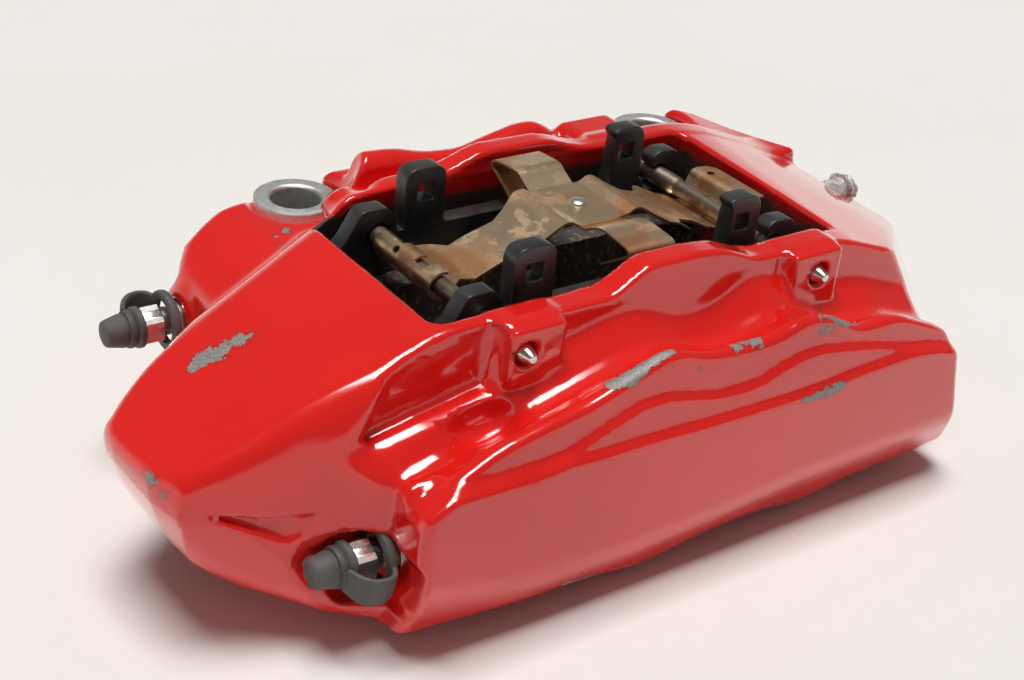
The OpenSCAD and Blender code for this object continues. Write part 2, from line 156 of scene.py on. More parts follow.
def bump(t):
    """A bell: 1 at 0, falling to nothing beyond 2 or so."""
    return np.exp(-t * t)


def soft_line(x, points, width):
    """A height that runs through points (x, height) and turns its corners over a width."""
    xs, hs = np.array(points, float).T
    offsets = np.linspace(-0.5, 0.5, 7) * width
    return sum(np.interp(x + d, xs, hs) for d in offsets) / len(offsets)


def plane(x, y, z, at, normal):
    """Signed distance to a plane through a point, positive on the side that the normal points to."""
    n = np.array(normal, float)
    n = n / np.linalg.norm(n)
    return (x - at[0]) * n[0] + (y - at[1]) * n[1] + (z - at[2]) * n[2]


def outline_distance(u, v, points):
    """Signed distance to a closed outline in a plane, negative inside."""
    p = np.array(points, float)
    best = np.full(np.broadcast(u, v).shape, 1e9)
    inside = np.zeros(best.shape, bool)
    for a, b in zip(p, np.roll(p, -1, axis=0)):
        e = b - a
        t = np.clip(((u - a[0]) * e[0] + (v - a[1]) * e[1]) / (e @ e), 0, 1)
        best = np.minimum(best, np.hypot(u - a[0] - t * e[0], v - a[1] - t * e[1]))
        crosses = (a[1] > v) != (b[1] > v)
        step = np.where(e[1] == 0, 1e-9, e[1])
        inside ^= crosses & (u < e[0] * (v - a[1]) / step + a[0])
    return np.where(inside, -best, best)


def rounded_box(x, y, z, centre, half, r):
    """Signed distance to a box whose edges and corners are rounded to radius r."""
    q = [np.abs(c - m) - h + r for c, m, h in zip((x, y, z), centre, half)]
    out = np.sqrt(sum(np.maximum(c, 0) ** 2 for c in q))
    return out + np.minimum(np.maximum(np.maximum(q[0], q[1]), q[2]), 0) - r


def rod(across_1, across_2, along, r, low, high, k=0.6):
    """Signed distance to a cylinder, its radius taken across two axes and its ends along the third."""
    radial = np.sqrt(across_1 ** 2 + across_2 ** 2) - r
    return smooth_max(radial, np.maximum(low - along, along - high), k)


print("helpers ready")

# %% [markdown]
# ## The casting as a blended solid
# The real body is one casting: two walls, two bridges, a flange and bosses that run into each other in soft
# fillets. Modelling it face by face would leave a seam at every blend. Here each surface is a signed distance,
# and the body is their smooth minimum and maximum, so a fillet is one number. Planes, an outline seen from
# above and a few height lines along X carry the shape.

# %% Places of the casting's surfaces
OUTER_WALL = -103.0
FLANGE_Y = -126.0
RIM_Z = 11.2
FACE_AT, FACE_N = (-81, -60, 10.0), (-0.414, 0, 0.910)
SHOULDER_AT, SHOULDER_N = (-105, -108, -20), (-0.343, -0.843, 0.407)
TAIL_AT, TAIL_N = (53, -60, 11.0), (0.374, -0.05, 0.925)
REAR_AT, REAR_N = (-78.6, -36, 11), (-0.393, 0.647, 0.654)
CORNER_AT, CORNER_N = (70.4, -103, 3.6), (0.678, -0.574, 0.459)
PLAN = [
    (-149, -55), (-149.3, -64), (-147.8, -82), (-144.5, -92), (-124.3, -101.3), (-104, -110), (-97, -112.5),
    (88, -112.5), (104, -106), (113, -96), (118.5, -82), (118.8, -60), (111, -44), (96, -12), (87, 4),
    (80, 7), (-86, 7), (-98, 4), (-104, -3), (-105, -23), (-127, -42), (-143, -50),
]
SHELF = [(-106, -20), (-88, -16), (-73, -12.6), (-60, -8.8), (-48, -5.4), (-35, -2.0), (-24, -0.8), (-10, -5.0),
         (3, -4.6), (17, -0.4), (28, -4.0), (41, -9.0), (57, -10.0), (77, -17), (90, -22)]
RIDGE = [(-99, -22), (-94, -18.5), (-87, -15.2), (-76, -10), (-61, -7), (-52, -5.6), (-41, -2.1), (-25, 3.4),
         (-14, -0.6), (-1, -2), (11, -1.9), (22, 1.8), (32, -1.5), (41, -6.5), (57, -6.5), (77, -15), (86, -21)]
STRAIGHT = [(-100, -17.5), (-67, -16.4), (-50, -17.5), (15, -19.3), (58, -17.2), (72, -18.5), (90, -24)]
WAVE = [(-100, -16), (-66, -18.6), (-47, -12.2), (-36, -8.2), (-27, -8.2), (-9, -12.5), (3, -13), (15, -9),
        (25, -8), (44, -11.5), (58, -15.1), (74, -19), (90, -24)]
RECESS = [(-81, 10), (-91, 5), (-95.5, 1.8), (-98.8, -3.4), (-101, -7.6), (-102, -10.8), (-101, -12.5),
          (-87.6, -9.7), (-79, -8.2), (-68.7, -6), (-66, 10)]
CREASE = [(-98, -42), (-66, -50), (-30, -50.5), (-5, -49), (28, -46.5), (90, -45.5)]
BACK_RIDGE = [(-66, -3), (-60, 6), (-50, 12.8), (-36, 12), (-25, 9), (-13, 8), (-1, 11), (9, 13), (16, 12),
              (22, 7), (30, 3), (70, 0)]


# %% The outer side: shelf, ridge and the flange's stepped face
def shelf_height(x, y):
    """The shelf under the outer wall: it falls outwards in a hollow curve, then lifts to the ridge."""
    low = soft_line(x, SHELF, 9)
    high = soft_line(x, RIDGE, 9)
    rise = np.maximum(y + 112.0, 0)
    hollow = 0.13 * np.minimum(rise, 3.5) ** 2 + 0.9 * np.maximum(rise - 3.5, 0)
    return low + hollow + (high - low) * soft_step((-114.5 - y) / 4)


def flange_front(x, z):
    """Where the flange's face lies in Y: flat, then set back by a straight ledge and by a wavy one."""
    straight = soft_step((z - soft_line(x, STRAIGHT, 8)) / 3.6 + 0.5)
    wave = soft_step((z - soft_line(x, WAVE, 8)) / 3.6 + 0.5)
    return FLANGE_Y + 1.9 * straight + 1.7 * wave + 0.05 * np.maximum(z + 17, 0)


def underside(x):
    """How low the outer half reaches: two bulges under the pistons, rising at the left end's nose."""
    bulges = 4.2 * bump((x + 24) / 14) + 4.2 * bump((x - 35) / 13)
    return -61.6 - bulges + 3.5 * soft_step((x - 70) / 40)


def flange(x, y, z):
    """The slab that carries the outer face, between its ends, its ridge and its sloping underside."""
    face = (flange_front(x, z) - y)
    top = (z - shelf_height(x, y)) * 0.93
    crease = soft_line(x, CREASE, 10)
    chin = plane(x, y, z - crease, (0, FLANGE_Y, 0), (0, -0.92, -0.39))
    left_end = plane(x, y, z, (-98.6, 0, 0), (-1, 0, 0.03))
    right_end = plane(x, y, z, (86, -126, -35), (0.96, 0, 0.25))
    ends = smooth_max(left_end, right_end, 2)
    solid = smooth_max(face, top, 2.6)
    solid = smooth_max(solid, chin, 1.6)
    solid = smooth_max(solid, ends, 3.5)
    solid = smooth_max(solid, underside(x) - z, 5)
    return np.maximum(solid, y + 96)


print("shelf at x = -60:", round(float(shelf_height(np.float64(-60), np.float64(-112))), 1), "mm")


# %% The body: bridges, walls and rims
def upper_surfaces(x, y, z):
    """Everything that bounds the body from above: rims, sloping bridges, the outer wall and the shelf."""
    face = plane(x, y, z, FACE_AT, FACE_N) - 1.6 * bump((x + 112) / 26)
    shoulder = plane(x, y, z, SHOULDER_AT, SHOULDER_N)
    left = smooth_max(face - 0.6, shoulder - 0.6, 4.6)
    tail = plane(x, y, z, TAIL_AT, TAIL_N) - 1.2 * bump((x - 84) / 22)
    corner = plane(x, y, z, CORNER_AT, CORNER_N)
    right = smooth_max(tail, corner, 2)
    end = plane(x, y, z, (113, -50, -12), (0.80, 0.12, 0.59))
    right = smooth_max(right, end, 5)
    hump = soft_line(x, [(-32, 0), (-21, 6.4), (-4, 6.2), (5, 5.0), (17, 0)], 5)
    rim = z - RIM_Z - hump * soft_step((-92 - y) / 3)
    top = smooth_max(smooth_max(left, right, 6), rim, 4)
    bulge = 2.6 * bump((x + 9) / 20) * soft_step((20 - z) / 26)
    wall = OUTER_WALL - y - bulge
    cove = smooth_min(wall, (z - shelf_height(x, y)) * 0.9, 3.2)
    return smooth_max(top, cove, 1.8)


def inner_top(x, y, z):
    """The inner wall's top: a flat rim along the window, a valley, and a wavy ridge along the back."""
    hump = soft_line(x, [(-36, 0), (-19, 6.0), (4, 5.6), (20, 0)], 6)
    rim = smooth_max(z - 10.6 - hump, y + 17.5, 3)
    valley = z - 3.0
    crest = soft_line(x, BACK_RIDGE, 7)
    ridge = np.hypot(y + 5.5, np.maximum(z - crest + 4.5, 0)) - 4.5
    return smooth_min(smooth_min(valley, rim, 4), ridge, 3)


def nose_underside(x, y, z):
    """The left end's underside, two planes that lift towards the nose."""
    gentle = plane(x, y, z, (-99, 0, -63), (-0.345, 0, -0.94))
    steep = plane(x, y, z, (-149, 0, -30), (-0.86, 0, -0.5))
    return smooth_max(gentle, steep, 9)


def nose_band(x, y, z):
    """The band round the nose: it leans out above a crease that runs down to the right, and in below it."""
    walls = outline_distance(x, y, PLAN)
    crease = soft_line(x, [(-150, -26), (-133, -29.5), (-124, -37), (-117, -49), (-112, -60)], 5)
    lean = np.where(z > crease, 0.10 * (z - crease), -0.16 * (z - crease))
    near_nose = soft_step((-100 - x) / 10)
    return walls + near_nose * np.minimum(lean, 3.5)


def body(x, y, z):
    """The casting's body before anything is cut from it."""
    outer_half = smooth_max(upper_surfaces(x, y, z), plane(x, y, z, REAR_AT, REAR_N), 3)
    outer_half = smooth_max(outer_half, plane(x, y, z, (-102.5, -21, 0), (-0.651, 0.759, 0.16)), 4)
    falling_top = z + 1.5 + 0.021 * np.maximum(-78 - x, 0) ** 2
    housing = smooth_max(falling_top, plane(x, y, z, (0, -30, 0), (0, -1, 0)), 2)
    inner = smooth_max(inner_top(x, y, z), plane(x, y, z, TAIL_AT, TAIL_N), 5)
    inner = smooth_max(inner, plane(x, y, z, (-60, -20, 0), (-0.80, 0, 0.60)), 4)
    inner = smooth_max(inner, -26.1 - y, 2)
    inner = smooth_min(inner, housing, 3)
    outer_half = np.where(y > -24, smooth_max(outer_half, y + 19, 2.5), outer_half)
    top = smooth_min(outer_half, inner, 2.5)
    solid = smooth_max(top, nose_band(x, y, z), 3.2)
    solid = smooth_max(solid, nose_underside(x, y, z), 7)
    return smooth_max(solid, underside(x) - z, 5)


print("body height lines:", len(PLAN), "outline corners,", len(RIDGE), "ridge points")


# %% Bosses, pockets and everything that is cut out
def bosses(x, y, z):
    """What stands on the body: ears, pin bosses and ends, the cylinders' backs and the bleed screws' seats."""
    solid = np.full(np.broadcast(x, y, z).shape, 1e3)
    for s in (-1, 1):
        flare = 0.10 * np.maximum(-z - 3, 0)
        ear = rod(x - s * BOLT_X, y, z, BOSS_R + 0.5 + np.minimum(flare, 3), -BOSS_H, -2.4, 0.8)
        solid = np.minimum(solid, ear)
    pin_boss_left = rounded_box(x, y, z, (-57.5, -101, 3.4), (8.4, 6.3, 7.6), 1.2)
    pin_boss_right = rounded_box(x, y, z, (36.2, -101, 3.4), (8.8, 6.3, 7.6), 1.2)
    solid = smooth_min(solid, smooth_min(pin_boss_left, pin_boss_right, 1), 1.2)
    left_end = rod(x - PIN["left"][0], z - PIN["left"][1], y, 5.6, -27, -14.8, 1.5)
    solid = smooth_min(solid, left_end, 2)
    for px, pz, r in PISTON.values():
        solid = smooth_min(solid, rod(x - px, z - pz, y, r + 4, -20, 10.6, 4), 4)
    block = rounded_box(x, y, z, (32.5, -12, 4), (10.5, 8.5, 6.6), 3)
    solid = smooth_min(solid, block, 3)
    outer_seat = rod(y - BLEED["outer"][2], z - BLEED["outer"][3] - 2, x, 10.5, -97.6, -80, 4)
    inner_seat = rod(y - BLEED["inner"][2], z - BLEED["inner"][3], x, 9.5, -105.6, -80, 4)
    return smooth_min(solid, smooth_min(outer_seat, inner_seat, 2), 3)


def hollows(x, y, z):
    """What is cut out: the window, the disc's slot, bores, pin holes, pockets and the port."""
    cut = rounded_box(x, y, z, (-12.6, MID_Y, -10), (66.9, 34.5, 120), 5.0)
    disc = rod(x - MID_X, z + 171, y - MID_Y, 170, -17, 17, 2)
    cut = smooth_min(cut, disc, 1.5)
    for px, pz, r in PISTON.values():
        cut = np.minimum(cut, rod(x - px, z - pz, y - MID_Y, r + 0.25, -BORE_DEPTH, BORE_DEPTH, 0.6))
        cut = np.minimum(cut, rod(x - px, z - pz, y - MID_Y, r + 2.8, -37.1, 37.1, 0.6))
    for px, pz, y0, y1 in PIN.values():
        cut = np.minimum(cut, rod(x - px, z - pz, y, 3.35, -130, -90, 0.3))
        cut = np.minimum(cut, rod(x - px, z - pz, y, 3.9, -30, 20, 0.3))
    for s in (-1, 1):
        near = np.hypot(x - s * BOLT_X, y)
        above = smooth_max(near - BOSS_R - 1.6 - 0.4 * np.maximum(z, 0), -2.9 - z, 2.0)
        cut = np.minimum(cut, above)
        cut = np.minimum(cut, rod(x - s * BOLT_X, y, z, BOLT_R + 0.3, -80, 10, 0.3))
        cut = np.minimum(cut, smooth_max(near - BOSS_R - 2.5, z + BOSS_H, 1))
    pocket = rounded_box(x, y, z, (-104.8, -115, -44.2), (7.0, 13, 9.6), 4)
    scallop = rod(y + 108.4, z + 41.8, x, 6.9, -121, -98, 5)
    room = rod(y + 107.8, z + 42.6, x, 9.2, -105.5, -97.9, 1)
    cut = smooth_min(cut, smooth_min(np.minimum(pocket, room), scallop, 4), 1.5)
    facet = outline_distance(x, z, [(-138, -26.2), (-110, -29.2), (-121.5, -34)])
    depth = (y + 101.3 + 0.434 * (x + 124.3) - 2.6 - 0.25 * (z + 30)) * 0.9
    cut = smooth_min(cut, smooth_max(facet, depth, 1.2), 0.8)
    back_pocket = rounded_box(x, y, z, (-122, -3, -26), (16.0, 14, 12.5), 7)
    cut = smooth_min(cut, back_pocket, 2)
    for side, seat in SEAT.items():
        cut = np.minimum(cut, rod(y - BLEED[side][2], z - BLEED[side][3], x, 5.2, seat - 10, seat + 12, 0.4))
    port = rod(y - MID_Y - 18, z + 13, x, 4.4, 90, 140, 0.4)
    return np.minimum(cut, port)


def wall_recess(x, y, z):
    """The large soft hollow in the outer wall, and the scoop in the shelf before it."""
    recess = smooth_max(outline_distance(x, z, RECESS), y + 99.2, 2.5)
    scoop = np.sqrt(((x + 74) / 10) ** 2 + ((y + 109.2) / 4.8) ** 2 + ((z + 10) / 6.5) ** 2) * 5 - 5
    return np.minimum(recess, scoop)


def casting_field(x, y, z):
    """The whole casting: body, flange and bosses blended together, less everything that is cut out."""
    solid = smooth_min(body(x, y, z), flange(x, y, z), 2.2)
    solid = smooth_min(solid, bosses(x, y, z), 3)
    solid = smooth_max(solid, -wall_recess(x, y, z), 3.2)
    solid = smooth_max(solid, -hollows(x, y, z), 1.4)
    return np.maximum(np.maximum(solid, y - 11.9), np.maximum(x - 118.05, -65.9 - z))


flange_middle = [np.array([v]) for v in (0.0, -120.0, -30.0)]
print("field at the flange's middle:", casting_field(*flange_middle).round(1))

# %% [markdown]
# ## From the blended solid to a mesh
# The solid is sampled on a regular grid, OpenVDB wraps it in quads, and three Newton steps then move each
# vertex along the solid's own gradient until it lies on the surface. The same gradient gives the normals, so a
# glossy coat reflects the smooth shape and not the grid.

# %% Mesh the casting
GRID = 1.35


def gradient(points, h=0.15):
    """The field's gradient by central differences along the three axes."""
    x, y, z = points.T
    gx = casting_field(x + h, y, z) - casting_field(x - h, y, z)
    gy = casting_field(x, y + h, z) - casting_field(x, y - h, z)
    gz = casting_field(x, y, z + h) - casting_field(x, y, z - h)
    return np.stack([gx, gy, gz], -1) / (2 * h)


def mesh_field(low, high, pitch):
    """Quads round the zero level of the casting's field, each vertex pulled onto it, and unit normals."""
    axes = [np.arange(a, b, pitch) for a, b in zip(low, high)]
    values = casting_field(axes[0][:, None, None], axes[1][None, :, None], axes[2][None, None, :])
    grid = openvdb.FloatGrid(3 * pitch)
    grid.copyFromArray(np.clip(values, -3 * pitch, 3 * pitch).astype(np.float32))
    points, quads = grid.convertToQuads(0)
    points = points * pitch + np.array([a[0] for a in axes])
    for _ in range(3):
        g = gradient(points)
        length2 = np.maximum((g ** 2).sum(1), 0.05)
        step = casting_field(*points.T) / length2
        points = points - g * np.clip(step, -0.8, 0.8)[:, None]
    g = gradient(points)
    normals = g / np.maximum(np.linalg.norm(g, axis=1), 1e-6)[:, None]
    return points, quads, normals


cast_points, cast_quads, cast_normals = mesh_field((-153, -130, -69), (123, 12, 21), GRID)
corner_a, corner_b, corner_c = (cast_points[cast_quads[:, i]] for i in (0, 1, 2))
facing = (np.cross(corner_b - corner_a, corner_c - corner_a) * cast_normals[cast_quads[:, 0]]).sum(1)
if facing.mean() < 0:
    cast_quads = cast_quads[:, ::-1]
casting = make_object("casting", cast_points, cast_quads)
casting.data.normals_split_custom_set_from_vertices(cast_normals)
print("casting:", len(cast_points), "points,", len(cast_quads), "quads")
print("box", cast_points.min(0).round(1), cast_points.max(0).round(1))
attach(casting, "caliper")
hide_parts("caliper_body")

# %% [markdown]
# ## Where the enamel has suffered
# Used enamel is knocked off where tools and wheels touch it. A distance to a few strokes, kept as one number
# per vertex, says where; the material later breaks its edge up with noise. A second number darkens the window's
# inside towards the bottom as painted shade. An attribute follows the casting wherever it moves, which a
# painted picture would not.

# %% Wear and painted window shade as attributes
WEAR = [
    ((-141, -45, -18), (-117, -36, -7), 3.4), ((-123.5, -59, -9), (-111, -62, -4), 3.3),
    ((-109, -34, -3), (-104, -32, 0), 2.3), ((-88, -28, 3), (-82, -22, 0), 1.9),
    ((-80, -17, -2), (-76, -15, -3), 1.5), ((-147.5, -90, -22), (-148.5, -80, -20), 2.2),
    ((-110, -18, -8), (-118, -26, -16), 2.6), ((-42, -119, -2), (-34, -119, 1), 2.6),
    ((-34, -119, 1), (-26, -119, 2.5), 1.9), ((-17, -119, -3), (-13, -119, -4), 1.7),
    ((-3, -119, -3), (4, -119, -2.5), 1.9), ((27, -119, -3), (36, -119, -3), 3.0),
    ((39, -119, -6), (42, -119, -7), 1.5), ((60, -118, -10), (76, -118, -12), 1.6),
    ((108, -99, -16), (114, -84, -16), 1.5), ((96, -13, -3), (113, -48, -7), 1.2),
    ((83, -2, -3), (92, -8, -3), 1.8), ((20, -126, -21), (34, -126, -20), 0.7),
    ((-86, -126, -52), (-78, -126, -54), 1.0), ((-52, -123, -58), (-40, -123, -60), 1.2),
]


def stroke_distance(points, a, b, r):
    """How far each point lies inside a capsule of radius r from a to b: positive inside."""
    a, b = np.array(a, float), np.array(b, float)
    t = np.clip(((points - a) @ (b - a)) / ((b - a) @ (b - a)), 0, 1)
    return r - np.linalg.norm(points - a - t[:, None] * (b - a), axis=1)


def keep_attribute(thing, name, values):
    """Stores one number per vertex under a name that a material can read."""
    layer = thing.data.attributes.new(name, "FLOAT", "POINT")
    layer.data.foreach_set("value", np.asarray(values, np.float32))


wear = np.max([stroke_distance(cast_points, *stroke) for stroke in WEAR], axis=0)
keep_attribute(casting, "wear", np.clip(wear, -6, 6))
px, py, pz = cast_points.T
in_window = np.minimum(np.minimum(px + 81.5, 56 - px), np.minimum(py + 97.5, -24 - py))
facing_in = soft_step(in_window / 2.0)
# painted shade: the window's inside, stronger the lower a point lies
keep_attribute(casting, "window_shade", facing_in * soft_step((11 - pz) / 9))
print("worn vertices:", int((wear > 0).sum()), "window_shaded vertices:", int((facing_in > 0.5).sum()))

# %% [markdown]
# ## A short way to write shader nodes
# A material is a graph, and writing each node out hides what it says. `Graph` adds a node, sets its inputs
# from numbers or other sockets, and hands back its output. Effects that several materials share are groups.

# %% Node helpers
class Graph:
    """Adds nodes to a tree; an input is a number, a colour or another node's output socket."""

    def __init__(self, tree):
        self.tree = tree

    def fill(self, node, inputs):
        for key, value in inputs.items():
            if isinstance(value, bpy.types.NodeSocket):
                self.tree.links.new(value, node.inputs[key])
            else:
                node.inputs[key].default_value = value
        return node.outputs

    def add(self, kind, inputs=None, out=0, **settings):
        node = self.tree.nodes.new(kind)
        for key, value in settings.items():
            setattr(node, key, value)
        return self.fill(node, inputs or {})[out]

    def shared(self, tree, inputs):
        node = self.tree.nodes.new("ShaderNodeGroup")
        node.node_tree = tree
        return self.fill(node, inputs)

    def math(self, what, a, b=0.0):
        return self.add("ShaderNodeMath", {0: a, 1: b}, operation=what)

    def ramp(self, value, low, high, to_low=0.0, to_high=1.0):
        return self.add("ShaderNodeMapRange", {0: value, 1: low, 2: high, 3: to_low, 4: to_high},
                        interpolation_type="SMOOTHSTEP")

    def mix(self, factor, a, b):
        return self.add("ShaderNodeMix", {0: factor, 6: a, 7: b}, out=2, data_type="RGBA")

    def blend(self, factor, a, b):
        return self.add("ShaderNodeMix", {0: factor, 2: a, 3: b}, out=0, data_type="FLOAT")

    def noise(self, where, scale, detail=4.0, rough=0.55):
        inputs = {"Vector": where, "Scale": scale, "Detail": detail, "Roughness": rough}
        return self.add("ShaderNodeTexNoise", inputs)

    def attribute(self, name):
        return self.add("ShaderNodeAttribute", out=2, attribute_name=name)

    def place(self):
        return self.add("ShaderNodeTexCoord", out=3)

    def stretched(self, where, scale):
        return self.add("ShaderNodeMapping", {"Vector": where, "Scale": scale})


def group(name, inputs, outputs):
    """An empty node group with named number or colour sockets, its graph, and its two end nodes."""
    tree = bpy.data.node_groups.new(name, "ShaderNodeTree")
    for way, sockets in (("INPUT", inputs), ("OUTPUT", outputs)):
        for label, kind in sockets.items():
            tree.interface.new_socket(label, in_out=way, socket_type=kind)
    return tree, Graph(tree), tree.nodes.new("NodeGroupInput"), tree.nodes.new("NodeGroupOutput")


def finish_group(tree, end, values):
    """Connects a group's results to its output sockets by name."""
    for label, socket in values.items():
        tree.links.new(socket, end.inputs[label])


NUMBER, COLOUR = "NodeSocketFloat", "NodeSocketColor"


def material(name, constants):
    """A material with its Principled BSDF's all-over numbers set on the shader's own sockets."""
    m = bpy.data.materials.new(name)
    m.use_nodes = True
    shader = m.node_tree.nodes["Principled BSDF"]
    for key, value in constants.items():
        shader.inputs[key].default_value = value
    return m, Graph(m.node_tree), shader


def connect(m, shader, sockets, height=None, distance=0.0002, strength=0.5):
    """Feeds the shader by socket name, and its Normal from a bump of the height given."""
    for key, socket in sockets.items():
        m.node_tree.links.new(socket, shader.inputs[key])
    if height is not None:
        bump_node = m.node_tree.nodes.new("ShaderNodeBump")
        bump_node.inputs["Distance"].default_value = distance
        bump_node.inputs["Strength"].default_value = strength
        m.node_tree.links.new(height, bump_node.inputs["Height"])
        m.node_tree.links.new(bump_node.outputs[0], shader.inputs["Normal"])


print("node helpers ready")

# %% [markdown]
# ## Shared effects
# Brake dust settles on everything here: a brown bloom in soft patches with finer specks over it. Bare metal
# has broad stains and a fine grain. Both are groups, so each material sets only how much and how coarse.

# %% Dust and grain groups
dust_tree, g, start, end = group("settled_dust", {"Color": COLOUR, "Dust": COLOUR, "Amount": NUMBER,
                                                  "Roughness": NUMBER}, {"Color": COLOUR, "Roughness": NUMBER,
                                                                         "Mask": NUMBER})
where = g.place()
patches = g.ramp(g.noise(where, 70.0, 5.0, 0.62), 0.40, 0.68)
specks = g.ramp(g.noise(where, 1400.0, 2.0), 0.52, 0.70)
mask = g.math("MULTIPLY", g.math("ADD", patches, g.math("MULTIPLY", specks, 0.35)), start.outputs["Amount"])
mask = g.math("MINIMUM", mask, 1.0)
finish_group(dust_tree, end, {
    "Color": g.mix(mask, start.outputs["Color"], start.outputs["Dust"]),
    "Roughness": g.blend(mask, start.outputs["Roughness"], 0.85),
    "Mask": mask,
})

metal_tree, g, start, end = group("stained_metal", {"Color": COLOUR, "Stain": COLOUR, "Amount": NUMBER,
                                                    "Scale": NUMBER, "Roughness": NUMBER},
                                  {"Color": COLOUR, "Roughness": NUMBER, "Height": NUMBER})
where = g.place()
broad = g.ramp(g.noise(where, start.outputs["Scale"], 5.0, 0.6), 0.42, 0.62)
fine = g.noise(where, 2600.0, 3.0)
stain = g.math("MULTIPLY", broad, start.outputs["Amount"])
finish_group(metal_tree, end, {
    "Color": g.mix(stain, start.outputs["Color"], start.outputs["Stain"]),
    "Roughness": g.math("ADD", g.math("MULTIPLY", stain, 0.22),
                        g.math("ADD", start.outputs["Roughness"], g.math("MULTIPLY", fine, 0.10))),
    "Height": g.math("ADD", fine, g.math("MULTIPLY", broad, 0.6)),
})
print("groups:", dust_tree.name, metal_tree.name)

# %% [markdown]
# ## The enamel
# A deep red enamel under a clear gloss. Chips show grey cast metal with a dark rim where the paint's edge has
# thickness, so the chip's height feeds the bump too, with a faint orange peel over all. Inside the window the
# red is darkened to brown-black towards the bottom as painted shade. Coat Weight falls to nothing on bare metal
# and on that painted shade, and the numbers that never change sit on the shader itself.

# %% Enamel on cast aluminium
enamel, g, shader = material("red_enamel", {"IOR": 1.5, "Coat IOR": 1.42, "Coat Roughness": 0.03})
where = g.place()
ragged = g.math("SUBTRACT", g.noise(where, 210.0, 6.0, 0.68), 0.5)
edge = g.math("ADD", g.attribute("wear"), g.math("MULTIPLY", ragged, 8.0))
chip = g.ramp(edge, 0.0, 0.25)
rim_line = g.math("MULTIPLY", g.ramp(edge, -0.55, 0.0), g.math("SUBTRACT", 1.0, chip))
# painted shade inside the window: brown-black, stronger towards the bottom, with noise breaking its edge
window_shade_noise = g.math("MULTIPLY", g.math("SUBTRACT", g.noise(where, 90.0, 5.0), 0.5), 1.3)
window_shade = g.ramp(g.math("ADD", g.attribute("window_shade"), window_shade_noise), 0.25, 0.85)
window_shade = g.math("MULTIPLY", window_shade, g.ramp(g.attribute("window_shade"), 0.02, 0.3))
tint = g.ramp(g.noise(where, 16.0, 2.0), 0.3, 0.7)
red = g.mix(tint, (0.82, 0.014, 0.010, 1), (0.74, 0.011, 0.008, 1))
grit = g.noise(where, 1500.0, 4.0, 0.6)
pits = g.ramp(grit, 0.35, 0.65)
bare = g.mix(pits, (0.25, 0.235, 0.22, 1), (0.40, 0.385, 0.365, 1))
colour = g.mix(g.math("MULTIPLY", rim_line, 0.5), red, (0.10, 0.012, 0.01, 1))
colour = g.mix(window_shade, colour, g.mix(pits, (0.030, 0.020, 0.016, 1), (0.075, 0.050, 0.038, 1)))
colour = g.mix(chip, colour, bare)
specks = g.ramp(g.noise(where, 620.0, 2.0), 0.74, 0.76)
colour = g.mix(g.math("MULTIPLY", specks, 0.55), colour, (0.10, 0.05, 0.04, 1))
# the coat is dropped on chips and on the painted window shade
dull = g.math("MAXIMUM", chip, window_shade)
haze = g.ramp(g.noise(where, 45.0, 4.0), 0.45, 0.75, 0.13, 0.24)
peel = g.math("MULTIPLY", g.noise(where, 300.0, 2.0), 0.10)
rough_grain = g.math("MULTIPLY", grit, g.math("MULTIPLY", dull, 0.35))
height = g.math("SUBTRACT", rough_grain, g.math("MULTIPLY", chip, 0.6))
height = g.math("ADD", height, peel)
connect(enamel, shader, {
    "Base Color": colour,
    "Roughness": g.blend(dull, haze, 0.62),
    "Metallic": g.math("MULTIPLY", chip, 0.55),
    "Coat Weight": g.math("SUBTRACT", 1.0, dull),
}, height, 0.0003, 0.6)
casting.data.materials.append(enamel)
print("enamel has", len(enamel.node_tree.nodes), "nodes")

# %% [markdown]
# ## Bare and coated metals
# The ears' tops are turned bright on a lathe, so their marks are rings about the bolt's own axis. Pins, spring
# and shims have seen heat. The pad plates are powder coated, with a faint orange peel.

# %% Metals
turned, g, shader = material("turned_aluminium", {"Metallic": 1.0})
at_x, at_y = (g.add("ShaderNodeSeparateXYZ", {0: g.place()}, out=i) for i in range(2))
off = g.math("SUBTRACT", g.math("ABSOLUTE", at_x), BOLT_X * MM)
radius = g.math("SQRT", g.math("ADD", g.math("MULTIPLY", off, off), g.math("MULTIPLY", at_y, at_y)))
rings = g.math("SINE", g.math("MULTIPLY", radius, 9000.0))
marks = g.math("ADD", g.math("MULTIPLY", rings, 0.25), g.noise(g.place(), 500.0, 5.0))
connect(turned, shader, {
    "Base Color": g.mix(g.ramp(marks, 0.2, 0.9), (0.52, 0.53, 0.53, 1), (0.78, 0.79, 0.77, 1)),
    "Roughness": g.ramp(marks, 0.0, 1.0, 0.44, 0.62),
}, rings, 0.00003, 0.35)


def stained(name, colour, stain, amount, scale, rough, constants=None):
    """A bare metal with broad stains: the group does the work and each metal gives its own values."""
    m, graph, node = material(name, {"Metallic": 1.0, **(constants or {})})
    out = graph.shared(metal_tree, {"Color": colour, "Stain": stain, "Amount": amount, "Scale": scale,
                                    "Roughness": rough})
    connect(m, node, {"Base Color": out["Color"], "Roughness": out["Roughness"]}, out["Height"], 0.00004, 0.5)
    return m


piston_metal = stained("anodised_piston", (0.50, 0.49, 0.47, 1), (0.22, 0.19, 0.16, 1), 0.7, 60.0, 0.3)
shim_metal = stained("shim_steel", (0.16, 0.16, 0.17, 1), (0.10, 0.07, 0.05, 1), 0.8, 80.0, 0.4)
zinc = stained("bright_zinc", (0.80, 0.80, 0.78, 1), (0.48, 0.46, 0.42, 1), 0.5, 160.0, 0.22)

